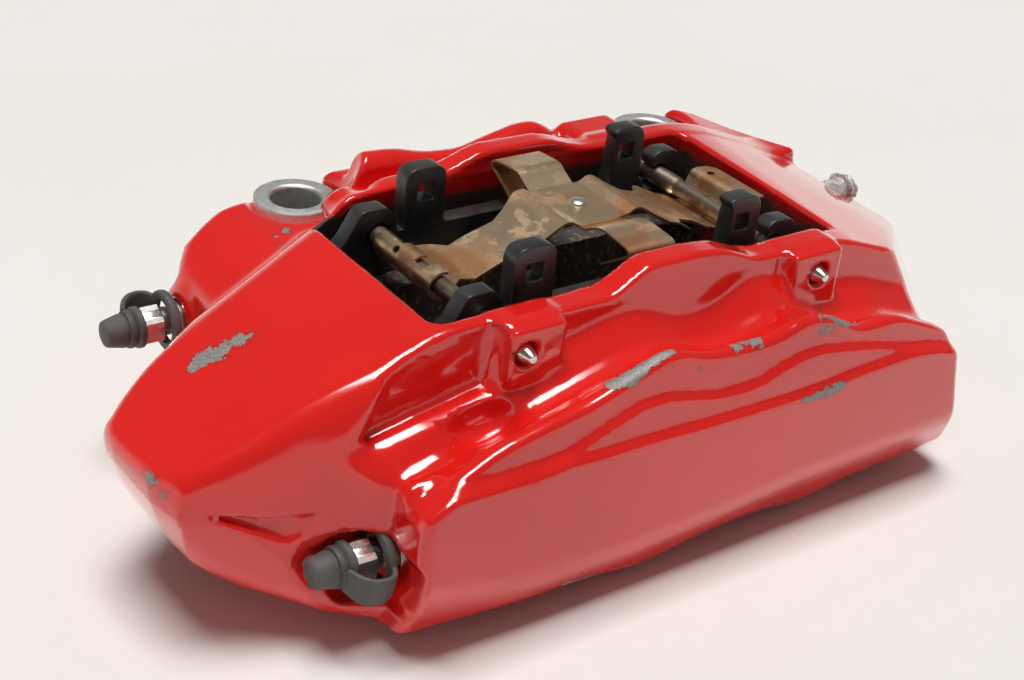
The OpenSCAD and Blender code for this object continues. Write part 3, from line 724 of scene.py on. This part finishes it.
# %% Pins and spring, coloured by heat
pin_metal, g, shader = material("heat_stained_pin", {"Metallic": 1.0})
along = g.add("ShaderNodeSeparateXYZ", {0: g.place()}, out=1)
clean = g.ramp(along, -0.0995, -0.1015)
out = g.shared(metal_tree, {"Color": (0.44, 0.37, 0.30, 1), "Stain": (0.17, 0.12, 0.09, 1), "Amount": 0.9,
                          "Scale": 140.0, "Roughness": 0.3})
connect(pin_metal, shader, {
    "Base Color": g.mix(clean, out["Color"], (0.72, 0.70, 0.67, 1)),
    "Roughness": g.blend(clean, out["Roughness"], 0.16),
}, out["Height"], 0.00005, 0.4)

spring_metal, g, shader = material("straw_spring_steel", {"Metallic": 1.0})
where = g.place()
out = g.shared(metal_tree, {"Color": (0.95, 0.72, 0.47, 1), "Stain": (0.46, 0.24, 0.12, 1), "Amount": 1.0,
                          "Scale": 46.0, "Roughness": 0.25})
green = g.ramp(g.noise(where, 31.0, 3.0), 0.55, 0.72)
rust = g.ramp(g.noise(g.stretched(where, (1.0, 1.0, 2.0)), 85.0, 6.0, 0.7), 0.53, 0.66)
colour = g.mix(g.math("MULTIPLY", green, 0.3), out["Color"], (0.58, 0.54, 0.36, 1))
colour = g.mix(g.math("MULTIPLY", rust, 0.72), colour, (0.26, 0.125, 0.06, 1))
connect(spring_metal, shader, {
    "Base Color": colour,
    "Roughness": g.math("ADD", out["Roughness"], g.math("MULTIPLY", rust, 0.3)),
    "Metallic": g.blend(rust, 1.0, 0.45),
}, out["Height"], 0.00004, 0.4)
print("metals ready")

# %% [markdown]
# ## Coatings, friction material and rubber
# These share the dust group. The lining is pressed from fibres and metal chips, so it is speckled and rough.

# %% Dusty finishes
def dusty(name, colour, dust, amount, rough, grain, depth, constants=None):
    """A finish with settled dust and a grain whose size and depth are given."""
    m, graph, node = material(name, constants or {})
    out = graph.shared(dust_tree, {"Color": colour, "Dust": dust, "Amount": amount, "Roughness": rough})
    height = graph.noise(graph.place(), grain, 3.0)
    connect(m, node, {"Base Color": out["Color"], "Roughness": out["Roughness"]}, height, depth, 0.5)
    return m


coating = dusty("black_powder_coat", (0.016, 0.018, 0.021, 1), (0.075, 0.060, 0.050, 1), 0.45, 0.36, 700.0,
                0.00008, {"Coat Weight": 0.35, "Coat Roughness": 0.22})
rubber = dusty("moulded_rubber", (0.072, 0.072, 0.072, 1), (0.16, 0.145, 0.13, 1), 0.5, 0.55, 1500.0, 0.00010)
seal_rubber = dusty("seal_rubber", (0.016, 0.016, 0.017, 1), (0.07, 0.055, 0.045, 1), 0.35, 0.5, 1200.0, 0.0001)

lining, g, shader = material("pressed_lining", {"Roughness": 0.9})
cells = g.add("ShaderNodeTexVoronoi", {"Vector": g.place(), "Scale": 900.0}, out=1)
grey = g.add("ShaderNodeRGBToBW", {0: cells})
flecks = g.ramp(grey, 0.72, 0.8)
base = g.mix(g.noise(g.place(), 300.0, 5.0), (0.045, 0.038, 0.033, 1), (0.10, 0.085, 0.075, 1))
connect(lining, shader, {
    "Base Color": g.mix(flecks, base, (0.30, 0.24, 0.16, 1)),
    "Metallic": g.math("MULTIPLY", flecks, 0.6),
}, g.noise(g.place(), 800.0, 6.0), 0.0004, 0.8)

film, g, shader = material("dented_film", {"Metallic": 0.35, "Transmission Weight": 0.15, "IOR": 1.45})
creases = g.noise(g.place(), 420.0, 4.0, 0.6)
connect(film, shader, {
    "Base Color": g.mix(g.ramp(creases, 0.35, 0.65), (0.50, 0.50, 0.48, 1), (0.86, 0.86, 0.84, 1)),
    "Roughness": g.ramp(creases, 0.3, 0.7, 0.12, 0.4),
}, creases, 0.0012, 0.8)
print("finishes:", [m.name for m in bpy.data.materials])

# %% [markdown]
# ## Three ways to make a surface
# Almost everything else is one of three things: a profile turned about an axis, a plate with a rounded edge,
# or a bent sheet. Each is a short function from two parameters to points.

# %% Turned, plate and sheet surfaces
def rounded_line(corners, steps=6):
    """A closed outline from corners (u, v, cut): each corner becomes a curve that starts cut before it."""
    p = np.array([c[:2] for c in corners], float)
    cut = np.array([c[2] for c in corners], float)[:, None]
    before, after = np.roll(p, 1, 0) - p, np.roll(p, -1, 0) - p
    a, b = (p + d * np.minimum(cut / np.linalg.norm(d, axis=1)[:, None], 0.49) for d in (before, after))
    a, b = a[:, None], b[:, None]
    t = np.linspace(0, 1, steps + 1)[None, :, None]
    return ((1 - t) ** 2 * a + 2 * t * (1 - t) * p[:, None] + t * t * b).reshape(-1, 2)


def closed_object(name, points, faces, angle=32):
    """An object whose faces are made to point outwards, smooth except where they meet at over an angle."""
    mesh = bpy.data.meshes.new(name)
    mesh.from_pydata((np.asarray(points) * MM).tolist(), [], [tuple(f) for f in faces])
    bm = bmesh.new()
    bm.from_mesh(mesh)
    bmesh.ops.remove_doubles(bm, verts=bm.verts, dist=1e-6)
    bmesh.ops.recalc_face_normals(bm, faces=bm.faces)
    bm.to_mesh(mesh)
    bm.free()
    mesh.shade_smooth()
    mesh.set_sharp_from_angle(angle=radians(angle))
    thing = bpy.data.objects.new(name, mesh)
    bpy.context.scene.collection.objects.link(thing)
    return thing


AXES = {"x": (0, 1, 2), "y": (1, 2, 0), "z": (2, 0, 1)}


def turned_points(profile, axis, centre, steps=72, closed=True):
    """A profile of (radius, height) carried round an axis: across = radius times (cos, sin), along = height."""
    p = np.array(profile, float)
    a = np.linspace(0, 2 * np.pi, steps, endpoint=False)[:, None]
    along, u, v = AXES[axis]
    points = np.empty((steps, len(p), 3))
    points[..., along] = p[:, 1] + centre[along]
    points[..., u] = p[:, 0] * np.cos(a) + centre[u]
    points[..., v] = p[:, 0] * np.sin(a) + centre[v]
    return points.reshape(-1, 3), grid_faces(steps, len(p), close_rows=True, close_columns=closed).tolist()


def plate_points(outline, holes, y0, y1, r, steps=4):
    """A plate across Y: its outline moves in by r(1 - sin a) as Y moves by r(1 - cos a), at both faces."""
    a = np.linspace(0, np.pi / 2, steps + 1)
    inset = np.concatenate([r * (1 - np.sin(a)), r * (1 - np.sin(a[::-1]))])
    level = np.concatenate([y0 + r * (1 - np.cos(a)), y1 - r * (1 - np.cos(a[::-1]))])
    points, faces, ends = [], [], []
    for loop, sign in [(outline, 1)] + [(h, -1) for h in holes]:
        loop = np.asarray(loop, float)
        area = np.sum(loop[:, 0] * np.roll(loop[:, 1], -1) - np.roll(loop[:, 0], -1) * loop[:, 1])
        tangent = np.roll(loop, -1, 0) - np.roll(loop, 1, 0)
        inward = np.stack([-tangent[:, 1], tangent[:, 0]], 1) * np.sign(area) * sign
        inward /= np.maximum(np.linalg.norm(inward, axis=1), 1e-9)[:, None]
        rows = loop[None] + inward[None] * inset[:, None, None]
        block = np.stack([rows[..., 0], np.broadcast_to(level[:, None], rows.shape[:2]), rows[..., 1]], -1)
        first = sum(len(b) for b in points)
        points.append(block.reshape(-1, 3))
        faces += (grid_faces(len(inset), len(loop), close_columns=True) + first).tolist()
        ends.append((first, len(loop)))
    points = np.concatenate(points)
    for row in (0, len(inset) - 1):
        index = [np.arange(first + row * n, first + row * n + n) for first, n in ends]
        loops = [[Vector((points[i][0], points[i][2], 0)) for i in loop] for loop in index]
        flat = np.concatenate(index)
        faces += [tuple(flat[list(t)]) for t in tessellate_polygon(loops)]
    return points, faces


def even(path, count):
    """The same line through `count` points at even distances, its corners softened by averaging."""
    path = np.asarray(path, float)
    at = np.concatenate([[0], np.cumsum(np.linalg.norm(np.diff(path, axis=0), axis=1))])
    s = np.linspace(0, at[-1], count)
    line = np.stack([np.interp(s, at, path[:, i]) for i in range(path.shape[1])], 1)
    for _ in range(5):
        line[1:-1] = (line[:-2] + 2 * line[1:-1] + line[2:]) / 4
    return line


def cell_middle(a):
    """The value at the middle of each cell of a grid: the mean of its four corners."""
    return (a[:-1, :-1] + a[1:, :-1] + a[:-1, 1:] + a[1:, 1:]) / 4


def sheet_points(path, low, high, thick, columns=30, gone=None, holes=()):
    """A bent sheet: the path gives two coordinates, w runs from low to high across it, and the two faces lie
    half a thickness along the path's normal. gone(s, w) drops cells; a hole's rim is pulled onto its circle."""
    n = len(path)
    step = np.gradient(path, axis=0)
    normal = np.stack([-step[:, 1], step[:, 0]], 1) / np.linalg.norm(step, axis=1)[:, None]
    s = np.concatenate([[0], np.cumsum(np.linalg.norm(np.diff(path, axis=0), axis=1))])
    t = np.linspace(0, 1, columns + 1)[None, :]
    w = low[:, None] + (high - low)[:, None] * t
    ss = np.broadcast_to(s[:, None], w.shape).copy()
    keep = np.ones((n - 1, columns), bool)
    if gone is not None:
        keep &= ~gone(cell_middle(ss), cell_middle(w))
    for hs, hw, r in holes:
        keep &= np.hypot(cell_middle(ss) - hs, cell_middle(w) - hw) > r
        near = np.hypot(ss - hs, w - hw)
        edge = (near < r * 1.45) & (near > 1e-6)
        scale = np.where(edge, r / np.maximum(near, 1e-6), 1)
        ss, w = hs + (ss - hs) * scale, hw + (w - hw) * scale
    at = np.stack([np.interp(ss, s, path[:, i]) for i in (0, 1)], -1)
    out = np.stack([np.interp(ss, s, normal[:, i]) for i in (0, 1)], -1)
    faces_2d = [np.concatenate([at + out * k * thick / 2, w[..., None]], -1).reshape(-1, 3) for k in (1, -1)]
    quads = grid_faces(n, columns + 1)[keep.reshape(-1)]
    edges = np.concatenate([quads[:, [i, (i + 1) % 4]] for i in range(4)])
    code = np.sort(edges, 1) @ np.array([n * (columns + 1), 1])
    _, first, count = np.unique(code, return_index=True, return_counts=True)
    rim = edges[first[count == 1]]
    size = n * (columns + 1)
    walls = np.stack([rim[:, 1], rim[:, 0], rim[:, 0] + size, rim[:, 1] + size], 1)
    return np.concatenate(faces_2d), np.concatenate([quads, quads[:, ::-1] + size, walls]).tolist(), s


def place_piece(thing, body_name, node, finish):
    """Puts a finished piece on its body, in its node's place and its material."""
    thing.data.materials.append(finish)
    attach(thing, body_name)
    if node:
        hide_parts(node)


print("surface makers ready")

# %% [markdown]
# ## The ears' bright rings
# Each ear is faced and bored in one setting on a machine, so its top, a short stretch of its side and the
# bore are bare. A turned profile with chamfers is exactly that cut.

# %% Bolt ears' machined faces
RING = [(7.25, -51.9), (7.25, -0.9), (7.45, -0.5), (7.95, -0.1), (8.15, 0.0), (11.55, 0.0), (11.8, -0.08),
        (11.97, -0.35), (12.0, -0.6), (12.0, -5.0), (7.5, -5.6), (7.5, -51.9)]
for side, sx in (("left", -1), ("right", 1)):
    ring = closed_object(f"ear_face_{side}", *turned_points(RING, "z", (sx * BOLT_X, 0, 0), 128), 20)
    place_piece(ring, "caliper", None, turned)
print("rings:", len(RING), "profile points each")

# %% [markdown]
# ## Pad backing plates
# A plate is blanked from sheet, so its edge is rolled over on one side and coated on both. It carries two
# square-holed tabs, a closed lug on the left pin and an open hook on the right one.

# %% Pad plates
def arc(centre, r, start_deg, end_deg, n=10):
    """Points on a circle from one angle to another, in degrees."""
    a = np.radians(np.linspace(start_deg, end_deg, n))
    return np.stack([centre[0] + r * np.cos(a), centre[1] + r * np.sin(a)], 1)


PIN_L, PIN_R = PIN["left"][:2], PIN["right"][:2]
LEFT_TAB, RIGHT_TAB = MID_X - 34.7, MID_X + 34.7
left_part = rounded_line([(RIGHT_TAB - 6.5, 4.4, 1.5), (LEFT_TAB + 6.5, 4.4, 1.5), (LEFT_TAB + 6.5, 21.7, 4.4),
                          (LEFT_TAB - 6.5, 21.7, 4.4), (LEFT_TAB - 6.5, 4.4, 0.8), (-55.0, 4.6, 0.8),
                          (-55.2, 8.2, 1.4), (-58.4, 12.1, 1.6), (-66.2, 12.1, 1.8), (-71.0, 4.2, 1.6),
                          (-77.2, -1.0, 4), (-77.2, -38, 3), (-74.3, -44, 5), (-59, -62.8, 8),
                          (35.4, -62.8, 8), (50.6, -44, 5), (53.5, -38, 3), (53.5, -1, 4), (49.6, 1.2, 2.5),
                          (46.6, 6.2, 1.6), (42.8, 11.6, 1.6), (36.4, 12.1, 1.4), (34.0, 10.4, 1.0),
                          (34.0, 7.2, 0.6), (35.4, 7.7, 0.6)])
hook = arc(PIN_R, 3.8, 95, -75, 14)
right_part = rounded_line([(36.0, 0.1, 1.5), (31.6, 0.4, 1.6), (31.2, 4.4, 0.8), (RIGHT_TAB + 6.5, 4.4, 0.8),
                           (RIGHT_TAB + 6.5, 21.7, 4.4), (RIGHT_TAB - 6.5, 21.7, 4.4)])
PLATE = np.concatenate([left_part, hook, right_part])
PLATE = PLATE[np.linalg.norm(PLATE - np.roll(PLATE, 1, 0), axis=1) > 0.02]
square = [rounded_line([(x + u, z, 0.7) for u, z in ((-2.6, 11.9), (2.6, 11.9), (2.6, 16.9), (-2.6, 16.9))], 3)
          for x in (LEFT_TAB, RIGHT_TAB)]
eye = arc(PIN_L, 3.7, 0, 350, 36)
for side in ("inner", "outer"):
    low, high = corners(f"{side}_pad_plate")
    plate = closed_object(f"{side}_backing_plate", *plate_points(PLATE, square + [eye], low[1], high[1], 0.38))
    place_piece(plate, f"{side}_pad", f"{side}_pad_plate", coating)
print("plate outline:", len(PLATE), "points")

# %% [markdown]
# ## Pins, pistons' boots and bleed screws
# All are turned parts, so each is one profile. Small rounds at the shoulders catch the light as real ones do.

# %% Pad pins and their sleeves
for side in ("left", "right"):
    cx, cz, y0, y1 = PIN[side]
    pin_profile = [(0, y0), (0.95, y0), (1.2, y0 + 0.15), (2.85, y0 + 4.2), (3.0, y0 + 4.7), (3.0, -86.2),
                   (2.85, -85.8), (2.5, -85.2), (2.5, -47.2), (2.85, -46.6), (3.0, -46.2), (3.0, y1 - 0.4),
                   (2.6, y1), (0, y1)]
    pin = closed_object(f"{side}_pad_pin", *turned_points(pin_profile, "y", (cx, 0, cz), 48, False), 28)
    place_piece(pin, f"{side}_pin", f"pad_pin_{side}", pin_metal)
    low, high = corners(f"pin_sleeve_{side}")
    sleeve = [(3.0, low[1]), (3.6, low[1]), (3.75, low[1] + 0.2), (3.75, high[1] - 0.2), (3.6, high[1]),
              (3.0, high[1])]
    ring = closed_object(f"{side}_pin_sleeve", *turned_points(sleeve, "y", (cx, 0, cz), 48), 28)
    place_piece(ring, f"{side}_pin", f"pin_sleeve_{side}", pin_metal)
print("pins and sleeves made")


# %% Folded dust boots
def boot_profile(r, low, high):
    """A folded rubber boot's section: a clamped ring at the bore and three soft pleats towards the pad."""
    a = np.linspace(0, 1, 40)
    outer = r + 2.0 - 1.4 * a + 0.35 * np.sin(a * 6 * np.pi)
    top = np.stack([outer, low + (high - low) * (1 - a)], 1)
    inner = np.array([(r + 0.2, low), (r + 0.2, high)])
    return np.concatenate([top, inner])


for row in ("inner", "outer"):
    for side, (cx, cz, r) in PISTON.items():
        low, high = corners(f"{row}_boot_{side}")
        section = boot_profile(r, low[1], high[1])
        if row == "outer":
            section[:, 1] = low[1] + high[1] - section[:, 1]
        boot = closed_object(f"{row}_dust_boot_{side}", *turned_points(section, "y", (cx, 0, cz), 96), 40)
        place_piece(boot, "caliper", f"{row}_boot_{side}", seal_rubber)
print("four boots")


# %% Bleed screws
def hexagon_points(x0, x1, centre, flats, bevel=0.5):
    """A hexagonal bar along X whose corners are turned off at both ends: radius = min(hexagon, end cone)."""
    a = np.linspace(0, 2 * np.pi, 72, endpoint=False)
    hexagon = flats / 2 / np.cos((a + np.pi / 6) % (np.pi / 3) - np.pi / 6)
    stations = np.array([x0, x0, x0 + bevel, x1 - bevel, x1, x1])
    limit = np.array([0.01, flats / 2 - 0.15, 99, 99, flats / 2 - 0.15, 0.01])
    rr = np.minimum(hexagon[None, :], limit[:, None])
    points = np.stack([np.broadcast_to(stations[:, None], rr.shape), centre[0] + rr * np.cos(a),
                       centre[1] + rr * np.sin(a)], -1)
    return points.reshape(-1, 3), grid_faces(6, 72, close_columns=True).tolist()


for side, seat in SEAT.items():
    x0, x1, cy, cz = BLEED[side]
    stem = [(0, x0), (2.3, x0), (2.6, x0 + 0.3), (2.6, seat - 5.5), (4.0, seat - 5.2), (4.0, seat - 0.4),
            (4.9, seat), (4.9, x1 - 0.6), (4.3, x1), (0, x1)]
    stem_points, stem_faces = turned_points(stem, "x", (0, cy, cz), 48, False)
    hex_points, hex_faces = hexagon_points(seat - 11, seat - 5, (cy, cz), 10.0)
    both = np.concatenate([stem_points, hex_points])
    faces = stem_faces + [[i + len(stem_points) for i in f] for f in hex_faces]
    screw = closed_object(f"{side}_bleed_nipple", both, faces, 25)
    place_piece(screw, f"{side}_bleeder", f"{side}_bleed_screw", zinc)
print("bleed screws made")

# %% [markdown]
# ## Rubber caps with their straps
# A cap is moulded in one: a tapered hood with a groove and beads, and a flat strap that bends out past the
# hexagon to a ring on the neck. The strap is a rounded section carried along a curve, and its ring is turned.

# %% Dust caps
def strap_points(path, width, thick, across):
    """A flat band: a rounded section, |u|^4 + |v|^4 = 1 scaled to width and thickness, carried along a path."""
    a = np.linspace(0, 2 * np.pi, 28, endpoint=False)
    cs, sn = np.cos(a), np.sin(a)
    u = np.sign(cs) * np.abs(cs) ** 0.5
    v = np.sign(sn) * np.abs(sn) ** 0.5
    step = np.gradient(path, axis=0)
    tangent = step / np.linalg.norm(step, axis=1)[:, None]
    out = np.cross(tangent, across)
    points = path[:, None] + u[None, :, None] * width[:, None, None] / 2 * np.array(across)[None, None]
    points = points + v[None, :, None] * thick / 2 * out[:, None]
    n = len(path)
    faces = grid_faces(n, 28, close_columns=True).tolist()
    faces += [list(range(28)), list(range((n - 1) * 28, n * 28))]
    return points.reshape(-1, 3), faces


HOOD = [(0, 0), (3.0, 0), (3.55, 0.25), (3.8, 0.8), (4.75, 5.0), (4.7, 5.5), (4.35, 5.75), (4.4, 6.0),
        (5.15, 6.25), (5.3, 6.7), (5.3, 7.6), (5.1, 8.0), (4.85, 8.15), (5.1, 8.4), (5.65, 8.7), (5.8, 9.1),
        (5.8, 10.2), (5.45, 10.55), (3.0, 10.6), (3.0, 5.2), (0, 5.2)]
for side, turn in (("outer", 196), ("inner", 0)):
    seat = SEAT[side]
    cy, cz = BLEED[side][2:]
    tip = seat - 21
    hood_points, hood_faces = turned_points([(r, h + tip) for r, h in HOOD], "x", (0, cy, cz), 64, False)
    collar = np.array([(6.3, 7.1), (8.0, 7.0), (8.5, 7.3), (8.7, 8.2), (8.5, 9.1), (8.0, 9.5), (6.3, 9.4)])
    collar[:, 1] += seat - 11
    ring_points, ring_faces = turned_points(collar, "x", (0, cy, cz), 64)
    cosine, sine = np.cos(radians(turn)), np.sin(radians(turn))
    reach = even([(-2.4, 4.3), (-1.7, 6.0), (-0.6, 8.2), (1.6, 10.1), (4.4, 10.8), (6.8, 10.3), (8.0, 8.7),
                  (8.3, 7.2)], 40)
    route = np.stack([reach[:, 0] + seat - 11, cy + reach[:, 1] * cosine, cz + reach[:, 1] * sine], 1)
    across = (0.0, -sine, cosine)
    band_width = 8.0 + 1.6 * np.sin(np.linspace(0, np.pi, 40))
    strap, strap_faces = strap_points(route, band_width, 1.7, across)
    sizes = [0, len(hood_points), len(hood_points) + len(ring_points)]
    all_points = np.concatenate([hood_points, ring_points, strap])
    all_faces = [[i + first for i in face] for first, faces in zip(sizes, (hood_faces, ring_faces, strap_faces))
                 for face in faces]
    cap = closed_object(f"{side}_dust_cap_moulding", all_points, all_faces, 42)
    place_piece(cap, f"{side}_dust_cap", f"{side}_bleed_cap", rubber)
print("caps made")

# %% [markdown]
# ## The anti-rattle spring
# Two leaves pressed from thin strip cross over the pads. The long one curls round the left pin and steps up
# over the right one; the cross leaf's ends crest near the two walls and fold back under. Both are bent sheets,
# so the path carries the shape and the width changes along it.

# %% Spring leaves
long_line = np.concatenate([
    arc((PIN_L[0] - MID_X, PIN_L[1]), 3.75, 62, 300, 40),
    np.array([(-40.9, 5.4), (-33, 8.5), (-26, 10.4), (-19, 12.5), (-14.8, 14.9), (-12.6, 15.75), (-11, 15.75),
                 (-9.8, 15.1), (-8.6, 14.35), (-7, 14.2), (7, 14.2), (8.6, 14.35), (9.8, 15.1), (11, 15.75),
                 (12.6, 15.6), (14.5, 14.5), (17, 12.8), (24, 8.8), (34.9, 5.7), (41.9, 2.2)]),
    arc((PIN_R[0] - MID_X, PIN_R[1]), 3.75, 238, 318, 14),
    np.array([(54.3, 4.4), (55.4, 7.2), (57, 7.9), (62.6, 7.9)]),
])
long_path = even(long_line, 330)
xs = long_path[:, 0]
lean = np.interp(xs, [-60, -46, -42.6, -40.5, 28, 30, 70], [-8.4, -8.4, -7.6, -11.4, -11.4, -8.4, -8.4])
reach = np.interp(xs, [-60, -46, -38, -24, -14, 29, 33, 56, 61, 62.6],
                  [19, 19, 5.6, 5.6, 11, 11, 16, 16, 15, 12.5])
s_at = np.concatenate([[0], np.cumsum(np.linalg.norm(np.diff(long_path, axis=0), axis=1))])
per_degree = 3.75 * np.pi / 180


def curl_notches(s, w):
    """The slots that part the curled end into fingers, and the small nick in the far strip."""
    long_slot = (s < 60 * per_degree) & (w < 1.6) & (w > -3.4)
    short_slot = (s < 40 * per_degree) & (w > 9.4)
    nick = (s > s_at[-1] - 7) & (s < s_at[-1] - 5) & (w < -6.4)
    return long_slot | short_slot | nick


sheet, faces, _ = sheet_points(long_path, lean, reach, 0.7, 44, curl_notches,
                               [(72 * per_degree, 9.6, 1.15), (s_at[-1] - 4.2, 10.6, 1.15)])
points = np.stack([sheet[:, 0] + MID_X, sheet[:, 2] + MID_Y, sheet[:, 1]], 1)
used, index = np.unique(np.concatenate([np.ravel(f) for f in faces]), return_inverse=True)
long_leaf = closed_object("long_spring_leaf", points[used], index.reshape(-1, 4).tolist(), 30)
place_piece(long_leaf, "caliper", "spring_long_leaf", spring_metal)

cross_line = np.array([(-21.0, 7.4), (-24.5, 9.9), (-30.8, 13.8), (-32.1, 14.9), (-31.4, 15.9), (-30, 16.25),
                          (-22, 16.85), (-19.5, 16.75), (-17, 16.0), (-12.6, 13.5), (12.6, 13.5), (16.4, 15.4),
                          (18.4, 16.8), (20.4, 17.0), (29.0, 16.2), (30.3, 15.7), (30.9, 14.8), (30.2, 13.7),
                          (24.2, 9.8), (20.5, 7.2)])
cross_path = even(cross_line, 200)
half = np.interp(cross_path[:, 0], [-33, -20, 20, 33], [7.75, 7.4, 7.4, 7.75])
sheet, faces, _ = sheet_points(cross_path, -half, half, 0.6, 14)
points = np.stack([sheet[:, 2] + MID_X, sheet[:, 0] + MID_Y, sheet[:, 1]], 1)
cross_leaf = closed_object("cross_spring_leaf", points, faces, 30)
place_piece(cross_leaf, "caliper", "spring_cross_leaf", spring_metal)

dome = [(0, 15.75)] + [(2.6 * np.sin(a), 14.55 + 1.2 * np.cos(a)) for a in np.linspace(0.15, np.pi / 2, 10)]
dome += [(1.4, 14.5), (1.4, 13.1), (2.5, 13.1), (2.6, 12.9), (2.6, 12.5), (0, 12.4)]
rivet = closed_object("spring_rivet_head", *turned_points(dome, "z", (MID_X, MID_Y, 0), 40, False), 35)
place_piece(rivet, "caliper", "spring_rivet", zinc)
print("leaves:", len(long_leaf.data.polygons), "and", len(cross_leaf.data.polygons), "faces")

# %% [markdown]
# ## The hose port's plug
# A thin plug is pressed into the hose port for transport and has been dented. It is turned first and then
# pushed in and out by a few waves.

# %% Dented plug
low, high = corners("hose_port_plug")
cy, cz = (low[1] + high[1]) / 2, (low[2] + high[2]) / 2
plug_profile = [(0, low[0]), (3.9, low[0])] + [(4.1, x) for x in np.linspace(low[0] + 0.4, high[0] - 5.1, 6)]
plug_profile += [(5.6, high[0] - 4.9), (5.9, high[0] - 4.6), (5.8, high[0] - 3.6), (4.6, high[0] - 3.3)]
plug_profile += [(4.5, x) for x in np.linspace(high[0] - 3.0, high[0] - 0.8, 8)]
plug_profile += [(3.9, high[0] - 0.35), (2.5, high[0] - 0.6), (1.2, high[0] - 0.9), (0, high[0] - 0.9)]
points, faces = turned_points(plug_profile, "x", (0, cy, cz), 64, False)
ang = np.arctan2(points[:, 2] - cz, points[:, 1] - cy)
outside = soft_step((points[:, 0] - (high[0] - 5.2)) / 1.0)
waves = 0.08 * np.sin(3 * ang + points[:, 0] * 1.3) + 0.05 * np.sin(7 * ang - points[:, 0] * 2.1)
dent = 1 - outside * (0.10 + waves)
points[:, 1] = cy + (points[:, 1] - cy) * dent
points[:, 2] = cz + (points[:, 2] - cz) * dent
plug = closed_object("port_plug_film", points, faces, 50)
place_piece(plug, "port_plug", "hose_port_plug", film)

# %% [markdown]
# ## Finishes on the frame's own solids
# Linings, shims, pistons and seals already have the right shape as plain solids, so they stay as they are and
# only get their finishes.

# %% Finishes for carried-over nodes
def finish_node(node, finish):
    """Gives a CAD node a procedural material in every slot."""
    slots = frame["nodes"][node].data.materials
    slots.clear()
    slots.append(finish)


for row in ("inner", "outer"):
    finish_node(f"{row}_pad_lining", lining)
    finish_node(f"{row}_pad_shim", shim_metal)
    for side in ("left", "right"):
        finish_node(f"{row}_piston_{side}", piston_metal)
        finish_node(f"{row}_seal_{side}", seal_rubber)
print("carried-over nodes finished")

# %% [markdown]
# ## Camera, floor and light
# The light is a studio's: a soft lamp overhead, a pale horizon and dim walls. It is painted on the world as a
# function of direction, so the floor is lit evenly and every glossy surface finds the same lamp.

# %% Camera
def make_camera():
    """The camera stands where the object is seen from its outer left side, a little from above."""
    right = Vector((0.81502, -0.57154, 0.09528)).normalized()
    down = Vector((-0.21880, -0.45583, -0.86275))
    forward = Vector((0.53653, 0.68231, -0.49657)).normalized()
    data = bpy.data.cameras.new("camera")
    data.sensor_width = 36.0
    data.lens = 59.05
    data.clip_start = 0.01
    data.clip_end = 50
    thing = bpy.data.objects.new("camera", data)
    turn = Matrix((right, (-down).normalized(), -forward)).transposed().to_4x4()
    thing.matrix_world = Matrix.Translation(Vector((-0.27969, -0.37893, 0.20736))) @ turn
    bpy.context.scene.collection.objects.link(thing)
    bpy.context.scene.camera = thing
    return thing


camera = make_camera()
print("camera lens", camera.data.lens, "mm")

# %% Floor
floor_z = cad_box[0][2] - 0.0003
floor_mesh = bpy.data.meshes.new("floor")
FLOOR_HALF = 12.0
floor_corners = [(x * FLOOR_HALF, y * FLOOR_HALF, floor_z) for x, y in ((-1, -1), (1, -1), (1, 1), (-1, 1))]
floor_mesh.from_pydata(floor_corners, [], [(0, 1, 2, 3)])
floor = bpy.data.objects.new("floor", floor_mesh)
bpy.context.scene.collection.objects.link(floor)
paper, g, shader = material("pale_paper", {"Roughness": 0.8, "Specular IOR Level": 0.2})
shade = g.ramp(g.noise(g.place(), 3.0, 4.0), 0.3, 0.7)
connect(paper, shader, {"Base Color": g.mix(shade, (0.835, 0.825, 0.800, 1), (0.862, 0.855, 0.835, 1))})
floor_mesh.materials.append(paper)

# %% Studio light
world = bpy.data.worlds.new("studio")
bpy.context.scene.world = world
world.use_nodes = True
g = Graph(world.node_tree)
direction = g.add("ShaderNodeTexCoord", out=0)
dx, dy, dz = (g.add("ShaderNodeSeparateXYZ", {0: direction}, out=i) for i in range(3))
height = g.math("MAXIMUM", dz, 0.0001)
lamp_x = g.math("ABSOLUTE", g.math("ADD", g.math("DIVIDE", dx, height), 0.07))
lamp_y = g.math("ABSOLUTE", g.math("SUBTRACT", g.math("DIVIDE", dy, height), 0.02))
lamp = g.math("MULTIPLY", g.ramp(lamp_x, 0.26, 0.22), g.ramp(lamp_y, 0.22, 0.18))
lamp = g.math("MULTIPLY", lamp, g.ramp(dz, 0.3, 0.5))
horizon = g.ramp(dz, g.ramp(dy, -0.2, 0.5, 0.16, 0.45), 0.0)
LAMP_POWER, GLOW_POWER, WALL_POWER = 15.4, 0.62, 0.13
walls = g.math("ADD", g.math("MULTIPLY", horizon, GLOW_POWER), WALL_POWER)
power = g.math("ADD", g.math("MULTIPLY", lamp, LAMP_POWER), walls)
background = world.node_tree.nodes["Background"]
background.inputs["Color"].default_value = (1.0, 0.985, 0.96, 1)
world.node_tree.links.new(power, background.inputs["Strength"])
bpy.context.scene.view_settings.view_transform = "Standard"
print("studio ready")
